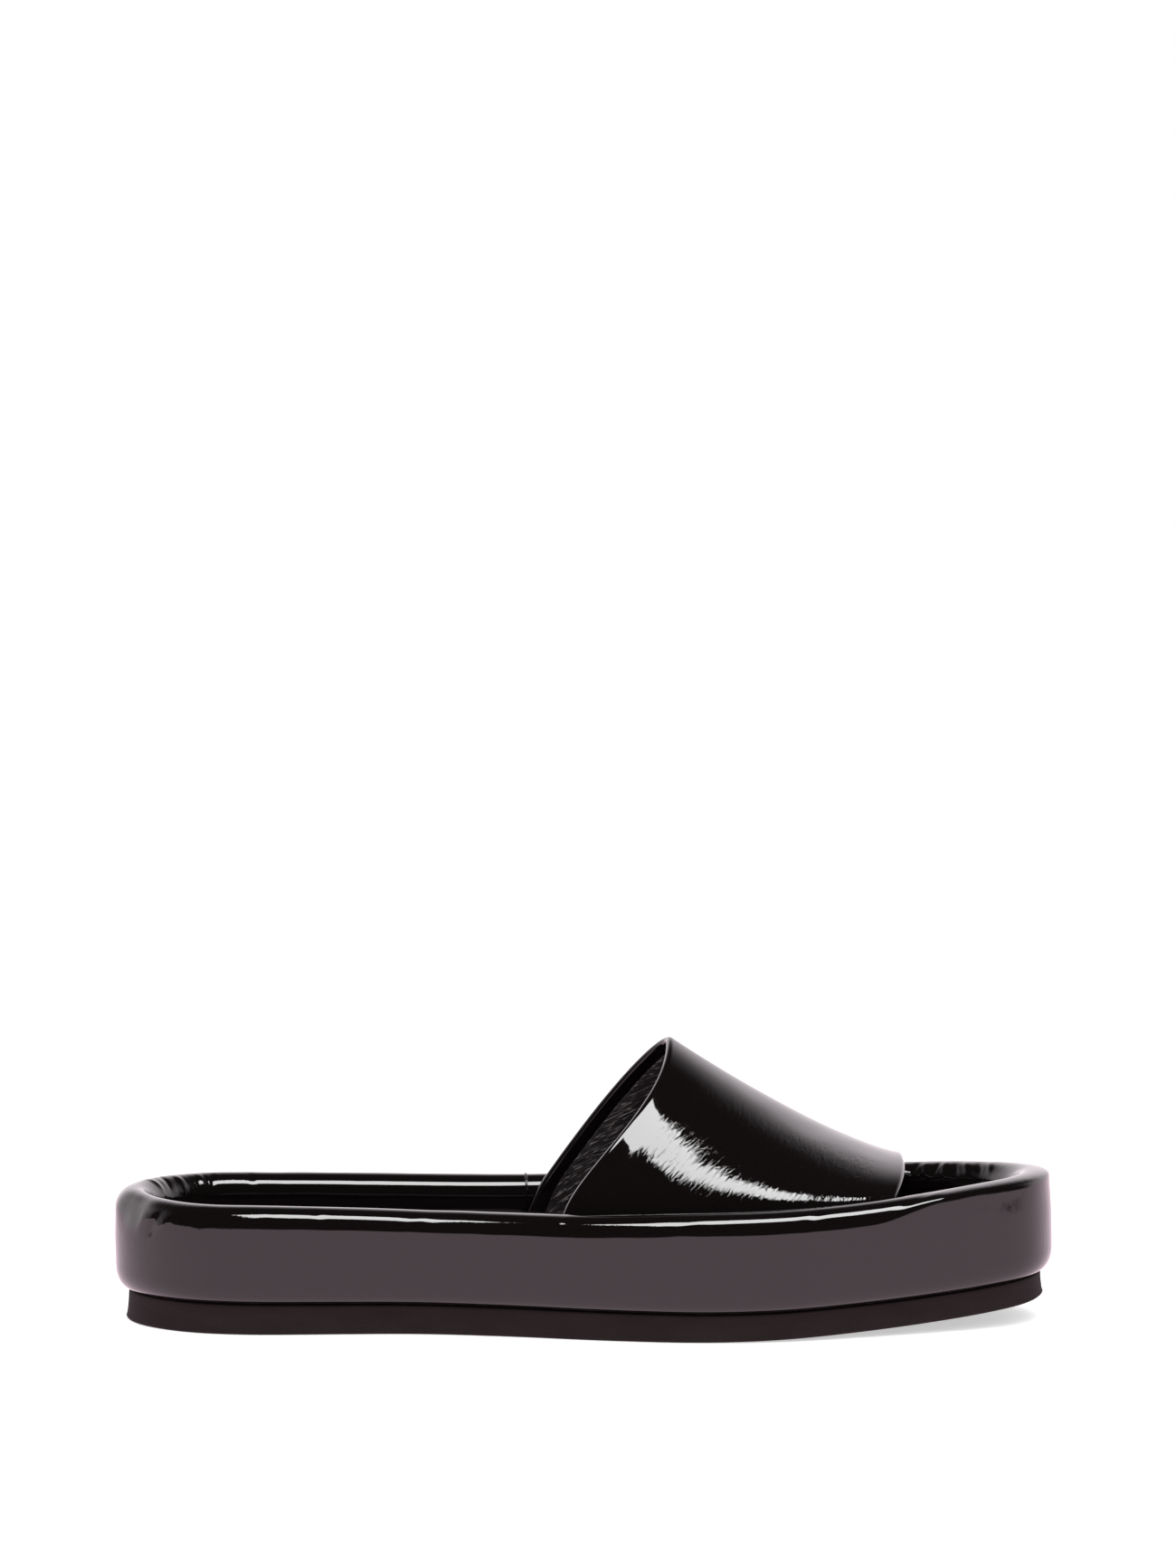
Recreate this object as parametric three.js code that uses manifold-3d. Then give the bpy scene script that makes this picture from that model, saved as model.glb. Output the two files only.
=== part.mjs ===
// A slide sandal for the right foot, in millimetres: toe along +X, inner side of the foot along +Y, up along +Z.
// The origin is on the floor, under the middle of the sandal's bounding box.
import * as THREE from "three";
import { mergeVertices } from "three/addons/utils/BufferGeometryUtils.js";
import Module from "manifold-3d";

// Sole
const SOLE_LENGTH = 269;
const HEEL_WIDTH = 65;
const BALL_WIDTH = 93;
const OUTSOLE_HEEL = 8.8; // thickness of the rubber, which thins towards the toe
const OUTSOLE_TOE = 7.2;
const OUTSOLE_FLARE = 0.8;
const TOE_SPRING = 6.8;
const SPRING_START = 0.6; // share of the sole's length at which the toe begins to lift

// Padded platform and its rolled rim
const PLATFORM_HEIGHT = 29.1; // from its underside to the crest of the rim
const PLATFORM_BASE = 14.4; // from its underside to the tray's floor
const RIM_OVERHANG = 3.8; // how far the padding stands out past the outsole
const RIM_THICKNESS = 12;
const RIM_ROLL = 6; // height of the roll, from the crest down to the upright face
const LOWER_ROUND = 6.6;
const SIDE_BULGE = 0.35;
const TOE_RAKE = 1.8; // how far the crest is set back from the foot of the padding at the toe
const TOE_RAKE_START = 0.8; // share of the sole's length
const ARCH_RISE = 2.2; // of the tray's floor under the arch of the foot
const ARCH_PLACE = 0.39; // shares of the sole's length
const ARCH_REACH = 0.13;

// Insole
const INSOLE_THICKNESS = 2.5;
const INSOLE_EDGE_ROUND = 0.8;

// Strap
const STRAP_THICKNESS = 3;
const STRAP_REAR_RISE = 43; // crown of the rear edge above the rim's crest
const STRAP_FRONT_RISE = 6.2;
const STRAP_FALL = 1.22; // how fast the crown drops towards the toe: 1 is a straight line
const STRAP_SPRINGING = 2; // depth below the rim's crest at which the strap starts to arch
const STRAP_EDGE_BOW = 1.2; // how far the turned edges stand out at the middle of the wall

const CLEARANCE = 0.3; // between pieces that lie on each other

// Outline of the outsole: share of the sole's length, then its outer and inner side as shares of half a named width.
const HEEL_POINT = { along: 0, across: 0 };
const TOE_POINT = { along: 1, across: 0.08 };
const OUTLINE = [
  { along: 0.012, outer: 0.37, inner: 0.39, of: HEEL_WIDTH },
  { along: 0.04, outer: 0.67, inner: 0.7, of: HEEL_WIDTH },
  { along: 0.08, outer: 0.89, inner: 0.92, of: HEEL_WIDTH },
  { along: 0.14, outer: 1.0, inner: 1.02, of: HEEL_WIDTH },
  { along: 0.225, outer: 0.975, inner: 1.03, of: HEEL_WIDTH },
  { along: 0.32, outer: 0.955, inner: 1.0, of: HEEL_WIDTH },
  { along: 0.42, outer: 0.763, inner: 0.675, of: BALL_WIDTH },
  { along: 0.52, outer: 0.91, inner: 0.742, of: BALL_WIDTH },
  { along: 0.62, outer: 0.995, inner: 0.888, of: BALL_WIDTH },
  { along: 0.71, outer: 0.955, inner: 0.975, of: BALL_WIDTH },
  { along: 0.79, outer: 0.81, inner: 0.965, of: BALL_WIDTH },
  { along: 0.87, outer: 0.64, inner: 0.835, of: BALL_WIDTH },
  { along: 0.935, outer: 0.475, inner: 0.64, of: BALL_WIDTH },
  { along: 0.98, outer: 0.285, inner: 0.41, of: BALL_WIDTH },
];

// Height of the rim's crest on each side, as a share of the platform's height, along the sole's length.
const CREST = [
  { along: 0, outer: 1.013, inner: 1.039 },
  { along: 0.07, outer: 0.967, inner: 1.026 },
  { along: 0.15, outer: 0.976, inner: 1.007 },
  { along: 0.34, outer: 0.919, inner: 1.0 },
  { along: 0.48, outer: 0.919, inner: 1.0 },
  { along: 0.62, outer: 0.971, inner: 1.0 },
  { along: 0.8, outer: 0.967, inner: 0.993 },
  { along: 0.92, outer: 0.993, inner: 0.98 },
  { along: 1, outer: 0.974, inner: 0.967 },
];

// Where the strap's two edges run, from the tray's floor on the outer side over the crown to the inner side, as
// shares of the sole's length.
const STRAP_EDGES = {
  outerFoot: { rear: 0.462, front: 0.831 },
  outerRim: { rear: 0.479, front: 0.831 },
  crown: { rear: 0.596, front: 0.845 },
  innerRim: { rear: 0.454, front: 0.845 },
  innerFoot: { rear: 0.437, front: 0.845 },
};

// Fullness of the strap's arch on each side of its crown: 1 is a straight slant, 2 an ellipse, more is squarer.
const STRAP_ARCH = {
  outer: { rear: 1.48, front: 1.75 },
  inner: { rear: 2.4, front: 2.2 },
};
const CROWN_PLACE = { rear: 0.73, front: 0.61 }; // share of the way from the outer rim to the inner rim

// How the strap's edges bend between the rim and the crown: 1 and 1 is a straight slant.
const STRAP_LEAN = {
  outer: { leaving: 1.5, arriving: 1.8 },
  inner: { leaving: 1, arriving: 0.82 },
};
const ARCH_SHARE = 0.7; // share of each half of the strap that arches; the rest is its upright end

// Fineness of the faces
const STEPS_PER_SPAN = 4;
const LOWER_STEPS = 4;
const FACE_STEPS = 3;
const ROLL_STEPS = 10;
const END_ROWS = 3;
const ARCH_ROWS = 24;
const STRAP_COLUMNS = 14;

const PLATFORM_FOOT = OUTSOLE_HEEL + CLEARANCE; // height of the platform's underside at the heel
const CREST_INSET = RIM_THICKNESS / 2 - RIM_OVERHANG; // crest of the rim, inward from the outsole's edge
const INNER_FACE = RIM_THICKNESS - RIM_OVERHANG; // inner face of the rim, inward from the outsole's edge
const BESIDE_RIM = INNER_FACE + CLEARANCE; // edge of the insole and outer face of the strap's ends
const QUARTER_TURN = Math.PI / 2;

const wasm = await Module();
wasm.setup();

const blend = (low, high, share) => low + (high - low) * share;
const ease = (share) => THREE.MathUtils.smoothstep(share, 0, 1);

// Reads a column of a table at a place between its rows, easing from row to row.
function readTable(table, along, column) {
  const row = table.findIndex((entry) => entry.along >= along);
  if (row <= 0) return table.at(row)[column];
  const low = table[row - 1];
  const high = table[row];
  return blend(low[column], high[column], ease((along - low.along) / (high.along - low.along)));
}

// The closed outline, from the heel along the outer side to the toe and back along the inner side.
function outlineCurve() {
  const point = (along, across, width) => new THREE.Vector3(along * SOLE_LENGTH, (across * width) / 2, 0);
  return new THREE.CatmullRomCurve3(
    [
      point(HEEL_POINT.along, HEEL_POINT.across, HEEL_WIDTH),
      ...OUTLINE.map((row) => point(row.along, -row.outer, row.of)),
      point(TOE_POINT.along, TOE_POINT.across, BALL_WIDTH),
      ...OUTLINE.toReversed().map((row) => point(row.along, row.inner, row.of)),
    ],
    true,
    "centripetal",
  );
}

// Points round the sole, each with its outward direction.
function outlineStations() {
  const curve = outlineCurve();
  const count = curve.points.length * STEPS_PER_SPAN;
  return Array.from({ length: count }, (_, step) => {
    const point = curve.getPoint(step / count);
    const tangent = curve.getTangent(step / count);
    return { x: point.x, y: point.y, outX: tangent.y, outY: -tangent.x };
  });
}

const STATIONS = outlineStations();

// Height added by the toe spring at a distance from the heel.
function toeLift(x) {
  const share = Math.max(0, x / SOLE_LENGTH - SPRING_START) / (1 - SPRING_START);
  return TOE_SPRING * share * share;
}

function outsoleTop(x) {
  const along = THREE.MathUtils.clamp(x / SOLE_LENGTH, 0, 1);
  return blend(OUTSOLE_HEEL, OUTSOLE_TOE, along) + toeLift(x);
}

function trayFloor(x) {
  const fromArch = (x / SOLE_LENGTH - ARCH_PLACE) / ARCH_REACH;
  return PLATFORM_FOOT + PLATFORM_BASE + ARCH_RISE * Math.exp(-fromArch * fromArch) + toeLift(x);
}

// How far the rim leans back over the toes.
function toeSetBack(x) {
  return TOE_RAKE * ease((x / SOLE_LENGTH - TOE_RAKE_START) / (1 - TOE_RAKE_START));
}

// Crest of the rim: each side has its own height, and they run into each other round the heel and the toe.
function crestHeight(x, y) {
  const along = THREE.MathUtils.clamp(x / SOLE_LENGTH, 0, 1);
  const towardsInner = THREE.MathUtils.smoothstep(y, -HEEL_WIDTH / 2, HEEL_WIDTH / 2);
  const share = blend(readTable(CREST, along, "outer"), readTable(CREST, along, "inner"), towardsInner);
  return PLATFORM_FOOT + PLATFORM_HEIGHT * share + toeLift(x);
}

// A closed loop round the sole, at an inset from the outsole's edge. Its height follows its place.
function loop(insetAt, heightAt) {
  return STATIONS.map((station) => {
    const inset = insetAt(station.x);
    const x = station.x - station.outX * inset;
    const y = station.y - station.outY * inset;
    return new THREE.Vector3(x, y, heightAt(x, y));
  });
}

// Closes a loop with rungs from side to side, so that a face round the sole follows the toe spring.
function rungs(start, count, facesOnwards) {
  const triangles = [];
  for (let step = 0; step < count / 2; step += 1) {
    const a = start + step;
    const b = start + step + 1;
    const c = start + count - step - 1;
    const d = start + ((count - step) % count);
    if (b !== c) triangles.push(facesOnwards ? [a, b, c] : [a, c, b]);
    if (a !== d) triangles.push(facesOnwards ? [a, c, d] : [a, d, c]);
  }
  return triangles;
}

// A closed body whose skin runs from loop to loop, with rungs across its first and its last loop. Each loop turns
// left round the way onwards.
function bodyOverLoops(loops) {
  const count = loops[0].length;
  const triangles = rungs(0, count, false);
  for (let level = 0; level < loops.length - 1; level += 1) {
    for (let step = 0; step < count; step += 1) {
      const a = level * count + step;
      const b = level * count + ((step + 1) % count);
      triangles.push([a, b, b + count], [a, b + count, a + count]);
    }
  }
  triangles.push(...rungs((loops.length - 1) * count, count, true));
  const points = loops.flat().flatMap((point) => point.toArray());
  const geometry = new THREE.BufferGeometry();
  geometry.setAttribute("position", new THREE.Float32BufferAttribute(points, 3));
  geometry.setIndex(triangles.flat());
  return mergeVertices(geometry, 1e-4);
}

// One body with another cut out of it.
function cutOut(geometry, cutter) {
  const [whole, hole] = [geometry, cutter].map((body) => {
    const vertProperties = new Float32Array(body.attributes.position.array);
    const triVerts = new Uint32Array(body.index.array);
    return new wasm.Manifold(new wasm.Mesh({ numProp: 3, vertProperties, triVerts }));
  });
  const mesh = whole.subtract(hole).getMesh();
  const left = new THREE.BufferGeometry();
  left.setAttribute("position", new THREE.Float32BufferAttribute(mesh.vertProperties, 3));
  left.setIndex(Array.from(mesh.triVerts));
  return left;
}

// Outsole: a flat sheet with a cut edge that flares towards the ground.
function makeOutsole() {
  return bodyOverLoops([
    loop(() => -OUTSOLE_FLARE, (x) => toeLift(x)),
    loop(() => -OUTSOLE_FLARE / 4, (x) => (outsoleTop(x) + toeLift(x)) / 2),
    loop(() => 0, (x) => outsoleTop(x)),
  ]);
}

// Section of the padded rim, as distance out from the outsole's edge and height above the platform's underside: up
// the outer face, over the crest and down to the inner face.
function rimSection() {
  const shoulder = PLATFORM_HEIGHT - RIM_ROLL;
  const lower = new THREE.EllipseCurve(0, LOWER_ROUND, RIM_OVERHANG, LOWER_ROUND, -QUARTER_TURN, 0);
  const face = new THREE.QuadraticBezierCurve(
    new THREE.Vector2(RIM_OVERHANG, LOWER_ROUND),
    new THREE.Vector2(RIM_OVERHANG + 2 * SIDE_BULGE, PLATFORM_HEIGHT / 2),
    new THREE.Vector2(RIM_OVERHANG, shoulder),
  );
  const roll = new THREE.EllipseCurve(-CREST_INSET, shoulder, RIM_THICKNESS / 2, RIM_ROLL, 0, Math.PI);
  return [
    ...lower.getPoints(LOWER_STEPS),
    ...face.getPoints(FACE_STEPS).slice(1),
    ...roll.getPoints(ROLL_STEPS).slice(1),
  ];
}

// Platform: the wrapped midsole with its padded rim, one tray that the insole lies in.
function makePlatform() {
  const padding = rimSection().map((point) => {
    const height = point.y / PLATFORM_HEIGHT;
    const raked = point.x > -CREST_INSET ? height : 1;
    return loop(
      (x) => raked * toeSetBack(x) - point.x,
      (x, y) => blend(outsoleTop(x) + CLEARANCE, crestHeight(x, y), height),
    );
  });
  return bodyOverLoops([...padding, loop((x) => INNER_FACE + toeSetBack(x), (x) => trayFloor(x))]);
}

// The line that the strap's outer face follows beside the rim, on each side from heel to toe.
function linesBesideRim() {
  const line = loop((x) => BESIDE_RIM + toeSetBack(x), () => 0);
  const half = line.length / 2;
  return { outer: line.slice(0, half + 1), inner: [...line.slice(half), line[0]].reverse() };
}

const LINES_BESIDE_RIM = linesBesideRim();

function besideRim(x, side) {
  const line = LINES_BESIDE_RIM[side];
  const next = Math.max(1, line.findIndex((point) => point.x >= Math.min(x, line.at(-1).x)));
  const low = line[next - 1];
  const high = line[next];
  return blend(low.y, high.y, (x - low.x) / (high.x - low.x));
}

// A point of the strap's outer face. across runs over the foot from -1, the strap's outer end on the tray's floor, to
// 1, its inner end. along runs from 0, its rear edge, to 1, its front edge.
function strapPoint(across, along) {
  const side = across < 0 ? "outer" : "inner";
  const place = (line) => SOLE_LENGTH * blend(STRAP_EDGES[line].rear, STRAP_EDGES[line].front, along);
  const foot = place(`${side}Foot`);
  const rim = place(`${side}Rim`);
  const springing = crestHeight(rim, besideRim(rim, side)) - STRAP_SPRINGING;
  const reach = Math.abs(across);
  if (reach >= ARCH_SHARE) {
    const down = (reach - ARCH_SHARE) / (1 - ARCH_SHARE);
    const x = blend(rim, foot, down);
    return new THREE.Vector3(x, besideRim(x, side), blend(springing, trayFloor(foot) + CLEARANCE, down));
  }
  const crown = place("crown");
  const rise = blend(STRAP_FRONT_RISE, STRAP_REAR_RISE, Math.max(0, 1 - along) ** STRAP_FALL);
  const angle = (reach / ARCH_SHARE) * QUARTER_TURN;
  const power = 2 / blend(STRAP_ARCH[side].rear, STRAP_ARCH[side].front, along);
  const upwards = Math.cos(angle) ** power;
  const lean = STRAP_LEAN[side];
  const x = blend(rim, crown, 1 - (1 - upwards ** lean.leaving) ** lean.arriving);
  const crownShare = blend(CROWN_PLACE.rear, CROWN_PLACE.front, along);
  const crownY = blend(besideRim(x, "outer"), besideRim(x, "inner"), crownShare);
  const top = PLATFORM_FOOT + PLATFORM_HEIGHT + toeLift(crown) + rise;
  return new THREE.Vector3(
    x,
    blend(crownY, besideRim(x, side), Math.sin(angle) ** power),
    blend(springing, top, upwards),
  );
}

// Outward direction of the strap's outer face.
function strapOutward(across, along) {
  const step = 1e-3;
  const overFoot = strapPoint(across + step, along).sub(strapPoint(across - step, along));
  const towardsToe = strapPoint(across, along + step).sub(strapPoint(across, along - step));
  return towardsToe.cross(overFoot).normalize();
}

// The strap's loop at one place over the foot: over its rear edge, along its outer face, over its front edge and back
// along its inner face. All of its faces are moved out by grow.
function strapLoop(across, columns, grow) {
  const outer = [];
  const inner = [];
  for (const along of columns) {
    const outward = strapOutward(across, along);
    const point = strapPoint(across, along);
    outer.push(point.clone().addScaledVector(outward, grow));
    inner.push(point.clone().addScaledVector(outward, -STRAP_THICKNESS - grow));
  }
  const turnedEdge = (edge, neighbour) => {
    const away = outer.at(edge).clone().sub(outer.at(neighbour)).normalize();
    return outer.at(edge).clone().lerp(inner.at(edge), 0.5).addScaledVector(away, STRAP_EDGE_BOW);
  };
  return [turnedEdge(0, 1), ...outer, turnedEdge(-1, -2), ...inner.toReversed()];
}

// Strap: one broad band of even thickness over the foot, with its ends tucked down beside the insole.
function makeStrap(grow = 0) {
  const longer = grow / ((STRAP_EDGES.outerFoot.front - STRAP_EDGES.outerFoot.rear) * SOLE_LENGTH);
  const deeper = (2 * grow * (1 - ARCH_SHARE)) / (PLATFORM_HEIGHT - PLATFORM_BASE);
  const columns = Array.from({ length: STRAP_COLUMNS + 1 }, (_, column) =>
    blend(-longer, 1 + longer, column / STRAP_COLUMNS),
  );
  const ends = Array.from({ length: END_ROWS }, (_, row) => blend(1 + deeper, ARCH_SHARE, row / END_ROWS));
  const arch = Array.from({ length: ARCH_ROWS + 1 }, (_, row) => ARCH_SHARE * blend(-1, 1, row / ARCH_ROWS));
  const rows = [...ends.map((end) => -end), ...arch, ...ends.toReversed()];
  return bodyOverLoops(rows.map((across) => strapLoop(across, columns, grow)));
}

// Insole: a thin footbed that lies in the tray, notched where the strap's ends pass.
function makeInsole() {
  const inset = (extra) => (x) => BESIDE_RIM + toeSetBack(x) + extra;
  const underside = (x) => trayFloor(x) + CLEARANCE;
  const top = (x) => underside(x) + INSOLE_THICKNESS;
  const whole = bodyOverLoops([
    loop(inset(0), (x) => underside(x)),
    loop(inset(0), (x) => top(x) - INSOLE_EDGE_ROUND),
    loop(inset(INSOLE_EDGE_ROUND / 3), (x) => top(x) - INSOLE_EDGE_ROUND / 3),
    loop(inset(INSOLE_EDGE_ROUND), (x) => top(x)),
  ]);
  return cutOut(whole, makeStrap(CLEARANCE));
}

const PATENT = { color: "#0e0a0b", roughness: 0.06, metalness: 0 };
const RUBBER = { color: "#211819", roughness: 0.75, metalness: 0 };
const FOOTBED = { color: "#171214", roughness: 0.5, metalness: 0 };

function piece(name, geometry, finish) {
  const mesh = new THREE.Mesh(geometry, new THREE.MeshStandardMaterial(finish));
  mesh.name = name;
  return mesh;
}

const sandal = new THREE.Group();
sandal.add(
  piece("outsole", makeOutsole(), RUBBER),
  piece("platform", makePlatform(), PATENT),
  piece("insole", makeInsole(), FOOTBED),
  piece("strap", makeStrap(), PATENT),
);

// The pieces are placed together, so that the origin lies on the floor under the middle of the whole sandal.
const middle = new THREE.Box3().setFromObject(sandal).getCenter(new THREE.Vector3());
for (const mesh of sandal.children) mesh.position.set(-middle.x, -middle.y, 0);

export default sandal;
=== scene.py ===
"""A slide sandal for the right foot, in black patent leather, on a pale studio floor.

Lengths are in millimetres until a mesh is made. The toe is along +X, the inner side of the foot along +Y and
up is +Z.
The whole shape follows from the sizes of the sole and of the strap, so the leather can be drawn much finer
than the solids that it covers.
"""

import logging
import math
from dataclasses import dataclass, field
from enum import Enum
from typing import Callable, NamedTuple

import bpy
import numpy as np
from mathutils import Euler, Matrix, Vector, noise


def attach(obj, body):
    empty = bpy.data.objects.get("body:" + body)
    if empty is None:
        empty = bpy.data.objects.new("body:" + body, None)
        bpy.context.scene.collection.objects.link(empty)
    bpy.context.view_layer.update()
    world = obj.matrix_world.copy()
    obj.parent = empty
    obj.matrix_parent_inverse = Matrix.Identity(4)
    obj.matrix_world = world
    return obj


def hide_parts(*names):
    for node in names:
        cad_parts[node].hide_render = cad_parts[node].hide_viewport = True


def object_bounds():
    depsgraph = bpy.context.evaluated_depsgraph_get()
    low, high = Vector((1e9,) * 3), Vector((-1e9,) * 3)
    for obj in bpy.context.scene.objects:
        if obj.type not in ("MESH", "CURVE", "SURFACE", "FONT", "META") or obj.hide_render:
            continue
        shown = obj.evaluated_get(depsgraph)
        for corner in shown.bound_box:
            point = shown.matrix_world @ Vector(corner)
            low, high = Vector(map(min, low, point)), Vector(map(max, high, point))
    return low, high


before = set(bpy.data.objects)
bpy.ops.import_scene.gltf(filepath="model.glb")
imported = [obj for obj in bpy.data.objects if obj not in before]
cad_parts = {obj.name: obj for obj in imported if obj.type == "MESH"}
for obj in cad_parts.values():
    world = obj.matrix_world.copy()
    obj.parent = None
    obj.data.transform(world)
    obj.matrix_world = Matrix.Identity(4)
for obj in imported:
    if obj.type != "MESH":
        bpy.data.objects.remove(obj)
SOLID_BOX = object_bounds()

MM = 0.001
Array = np.ndarray
log = logging.getLogger("slide_sandal")


# Small helpers for numbers and smooth lines


def blend(low: Array | float, high: Array | float, share: Array | float) -> Array | float:
    """Value at a share of the way from low to high."""
    return low + (high - low) * share


def smoothstep(value: Array | float, low: float, high: float) -> Array:
    """Eases from 0 at low to 1 at high."""
    share = np.clip((np.asarray(value, float) - low) / (high - low), 0, 1)
    return share * share * (3 - 2 * share)


def soften(values: Array, reach: float, axis: int, closed: bool) -> Array:
    """Smooths an array along one axis with a bell curve.

    Args:
        values: Array of numbers or points.
        reach: Standard deviation of the bell, in steps.
        axis: Axis to smooth along.
        closed: Whether the line joins its own start. An open line keeps both of its ends.

    Returns:
        The smoothed array, of the same shape.
    """
    if reach <= 0:
        return values
    moved = np.moveaxis(values, axis, 0)
    radius = int(math.ceil(3 * reach))
    count = len(moved)
    if closed:
        padded = moved[np.arange(-radius, count + radius) % count]
    else:
        before = 2 * moved[0] - moved[np.arange(radius, 0, -1).clip(max=count - 1)]
        after = 2 * moved[-1] - moved[count - 1 - np.arange(1, radius + 1).clip(max=count - 1)]
        padded = np.concatenate([before, moved, after])
    bell = np.exp(-0.5 * (np.arange(-radius, radius + 1) / reach) ** 2)
    bell /= bell.sum()
    total = sum(weight * padded[step : step + count] for step, weight in enumerate(bell))
    return np.moveaxis(total, 0, axis)


def lengths_along(points: Array, axis: int = 0) -> Array:
    """Distance from the first point, along the line, of each point.

    Args:
        points: Points of the line, or of several lines.
        axis: Axis that runs along the line.

    Returns:
        The distances, 0 for the first point.
    """
    steps = np.linalg.norm(np.diff(points, axis=axis), axis=-1)
    start = np.zeros_like(np.take(steps, [0], axis=axis))
    return np.concatenate([start, np.cumsum(steps, axis=axis)], axis=axis)


def evenly_spaced(points: Array, count: int) -> Array:
    """The same open line with evenly spaced points.

    Args:
        points: Points of the line.
        count: Number of points wanted.

    Returns:
        The new points, which keep both ends.
    """
    along = lengths_along(points)
    wanted = np.linspace(0, along[-1], count)
    return np.stack([np.interp(wanted, along, points[:, axis]) for axis in range(points.shape[1])], axis=1)


def closed_spline(points: Array, steps: int) -> Array:
    """A closed centripetal spline through the points, with a number of steps in each span.

    Args:
        points: Points that the spline passes through.
        steps: Points drawn in each span.

    Returns:
        Points of the curve.
    """
    before, after, beyond = (np.roll(points, shift, axis=0) for shift in (1, -1, -2))
    pairs = ((before, points), (points, after), (after, beyond))
    first, middle, last = (np.linalg.norm(end - start, axis=1, keepdims=True) ** 0.5 for start, end in pairs)
    leave = (points - before) / first - (after - before) / (first + middle) + (after - points) / middle
    arrive = (after - points) / middle - (beyond - points) / (middle + last) + (beyond - after) / last
    leave = leave * middle
    arrive = arrive * middle
    share = (np.arange(steps) / steps)[None, :, None]
    start, end, leave, arrive = (line[:, None, :] for line in (points, after, leave, arrive))
    curve = (
        start
        + leave * share
        + (-3 * start + 3 * end - 2 * leave - arrive) * share**2
        + (2 * start - 2 * end + leave + arrive) * share**3
    )
    return curve.reshape(-1, points.shape[1])


def surface_normals(grid: Array, closed: bool) -> Array:
    """Normals of a grid of points, which face away from the left of its second direction.

    Args:
        grid: Points as (first direction, second direction, 3).
        closed: Whether the second direction closes on itself.

    Returns:
        Unit normals, in the grid's shape.
    """
    onwards = np.gradient(grid, axis=0)
    if closed:
        sideways = (np.roll(grid, -1, axis=1) - np.roll(grid, 1, axis=1)) / 2
    else:
        sideways = np.gradient(grid, axis=1)
    normals = np.cross(sideways, onwards)
    return normals / np.maximum(np.linalg.norm(normals, axis=-1, keepdims=True), 1e-12)


class Wave(NamedTuple):
    """Smooth unevenness: its height and size in mm, and where its noise starts."""

    height: float
    size: float
    seed: float


def ripple(points: Array, waves: tuple[Wave, ...]) -> Array:
    """Sum of the waves' smooth noise at each point.

    Args:
        points: Points in millimetres, in any grid.
        waves: The waves.

    Returns:
        Heights, in the grid's shape.
    """
    total = np.zeros(points.shape[:-1])
    for wave in waves:
        flat = points.reshape(-1, 3) / wave.size + wave.seed
        total += wave.height * np.array([noise.noise(Vector(point)) for point in flat]).reshape(total.shape)
    return total


# The sole's form


class Side(Enum):
    """Side of the foot."""

    OUTER = "outer"
    INNER = "inner"


class OutlineRow(NamedTuple):
    """The outsole's half widths at a share of its length, as shares of half a named width."""

    along: float
    outer: float
    inner: float
    width: float


class CrestRow(NamedTuple):
    """Height of the rim's crest at a share of the sole's length, as shares of the platform's height."""

    along: float
    outer: float
    inner: float


HEEL_WIDTH = 65.0
BALL_WIDTH = 93.0

OUTLINE = (
    OutlineRow(0.012, 0.37, 0.39, HEEL_WIDTH),
    OutlineRow(0.04, 0.67, 0.7, HEEL_WIDTH),
    OutlineRow(0.08, 0.89, 0.92, HEEL_WIDTH),
    OutlineRow(0.14, 1.0, 1.02, HEEL_WIDTH),
    OutlineRow(0.225, 0.975, 1.03, HEEL_WIDTH),
    OutlineRow(0.32, 0.955, 1.0, HEEL_WIDTH),
    OutlineRow(0.42, 0.763, 0.675, BALL_WIDTH),
    OutlineRow(0.52, 0.91, 0.742, BALL_WIDTH),
    OutlineRow(0.62, 0.995, 0.888, BALL_WIDTH),
    OutlineRow(0.71, 0.955, 0.975, BALL_WIDTH),
    OutlineRow(0.79, 0.81, 0.965, BALL_WIDTH),
    OutlineRow(0.87, 0.64, 0.835, BALL_WIDTH),
    OutlineRow(0.935, 0.475, 0.64, BALL_WIDTH),
    OutlineRow(0.98, 0.285, 0.41, BALL_WIDTH),
)

CRESTS = (
    CrestRow(0.0, 1.013, 1.039),
    CrestRow(0.07, 0.967, 1.026),
    CrestRow(0.15, 0.976, 1.007),
    CrestRow(0.34, 0.919, 1.0),
    CrestRow(0.48, 0.919, 1.0),
    CrestRow(0.62, 0.971, 1.0),
    CrestRow(0.8, 0.967, 0.993),
    CrestRow(0.92, 0.993, 0.98),
    CrestRow(1.0, 0.974, 0.967),
)


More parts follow.
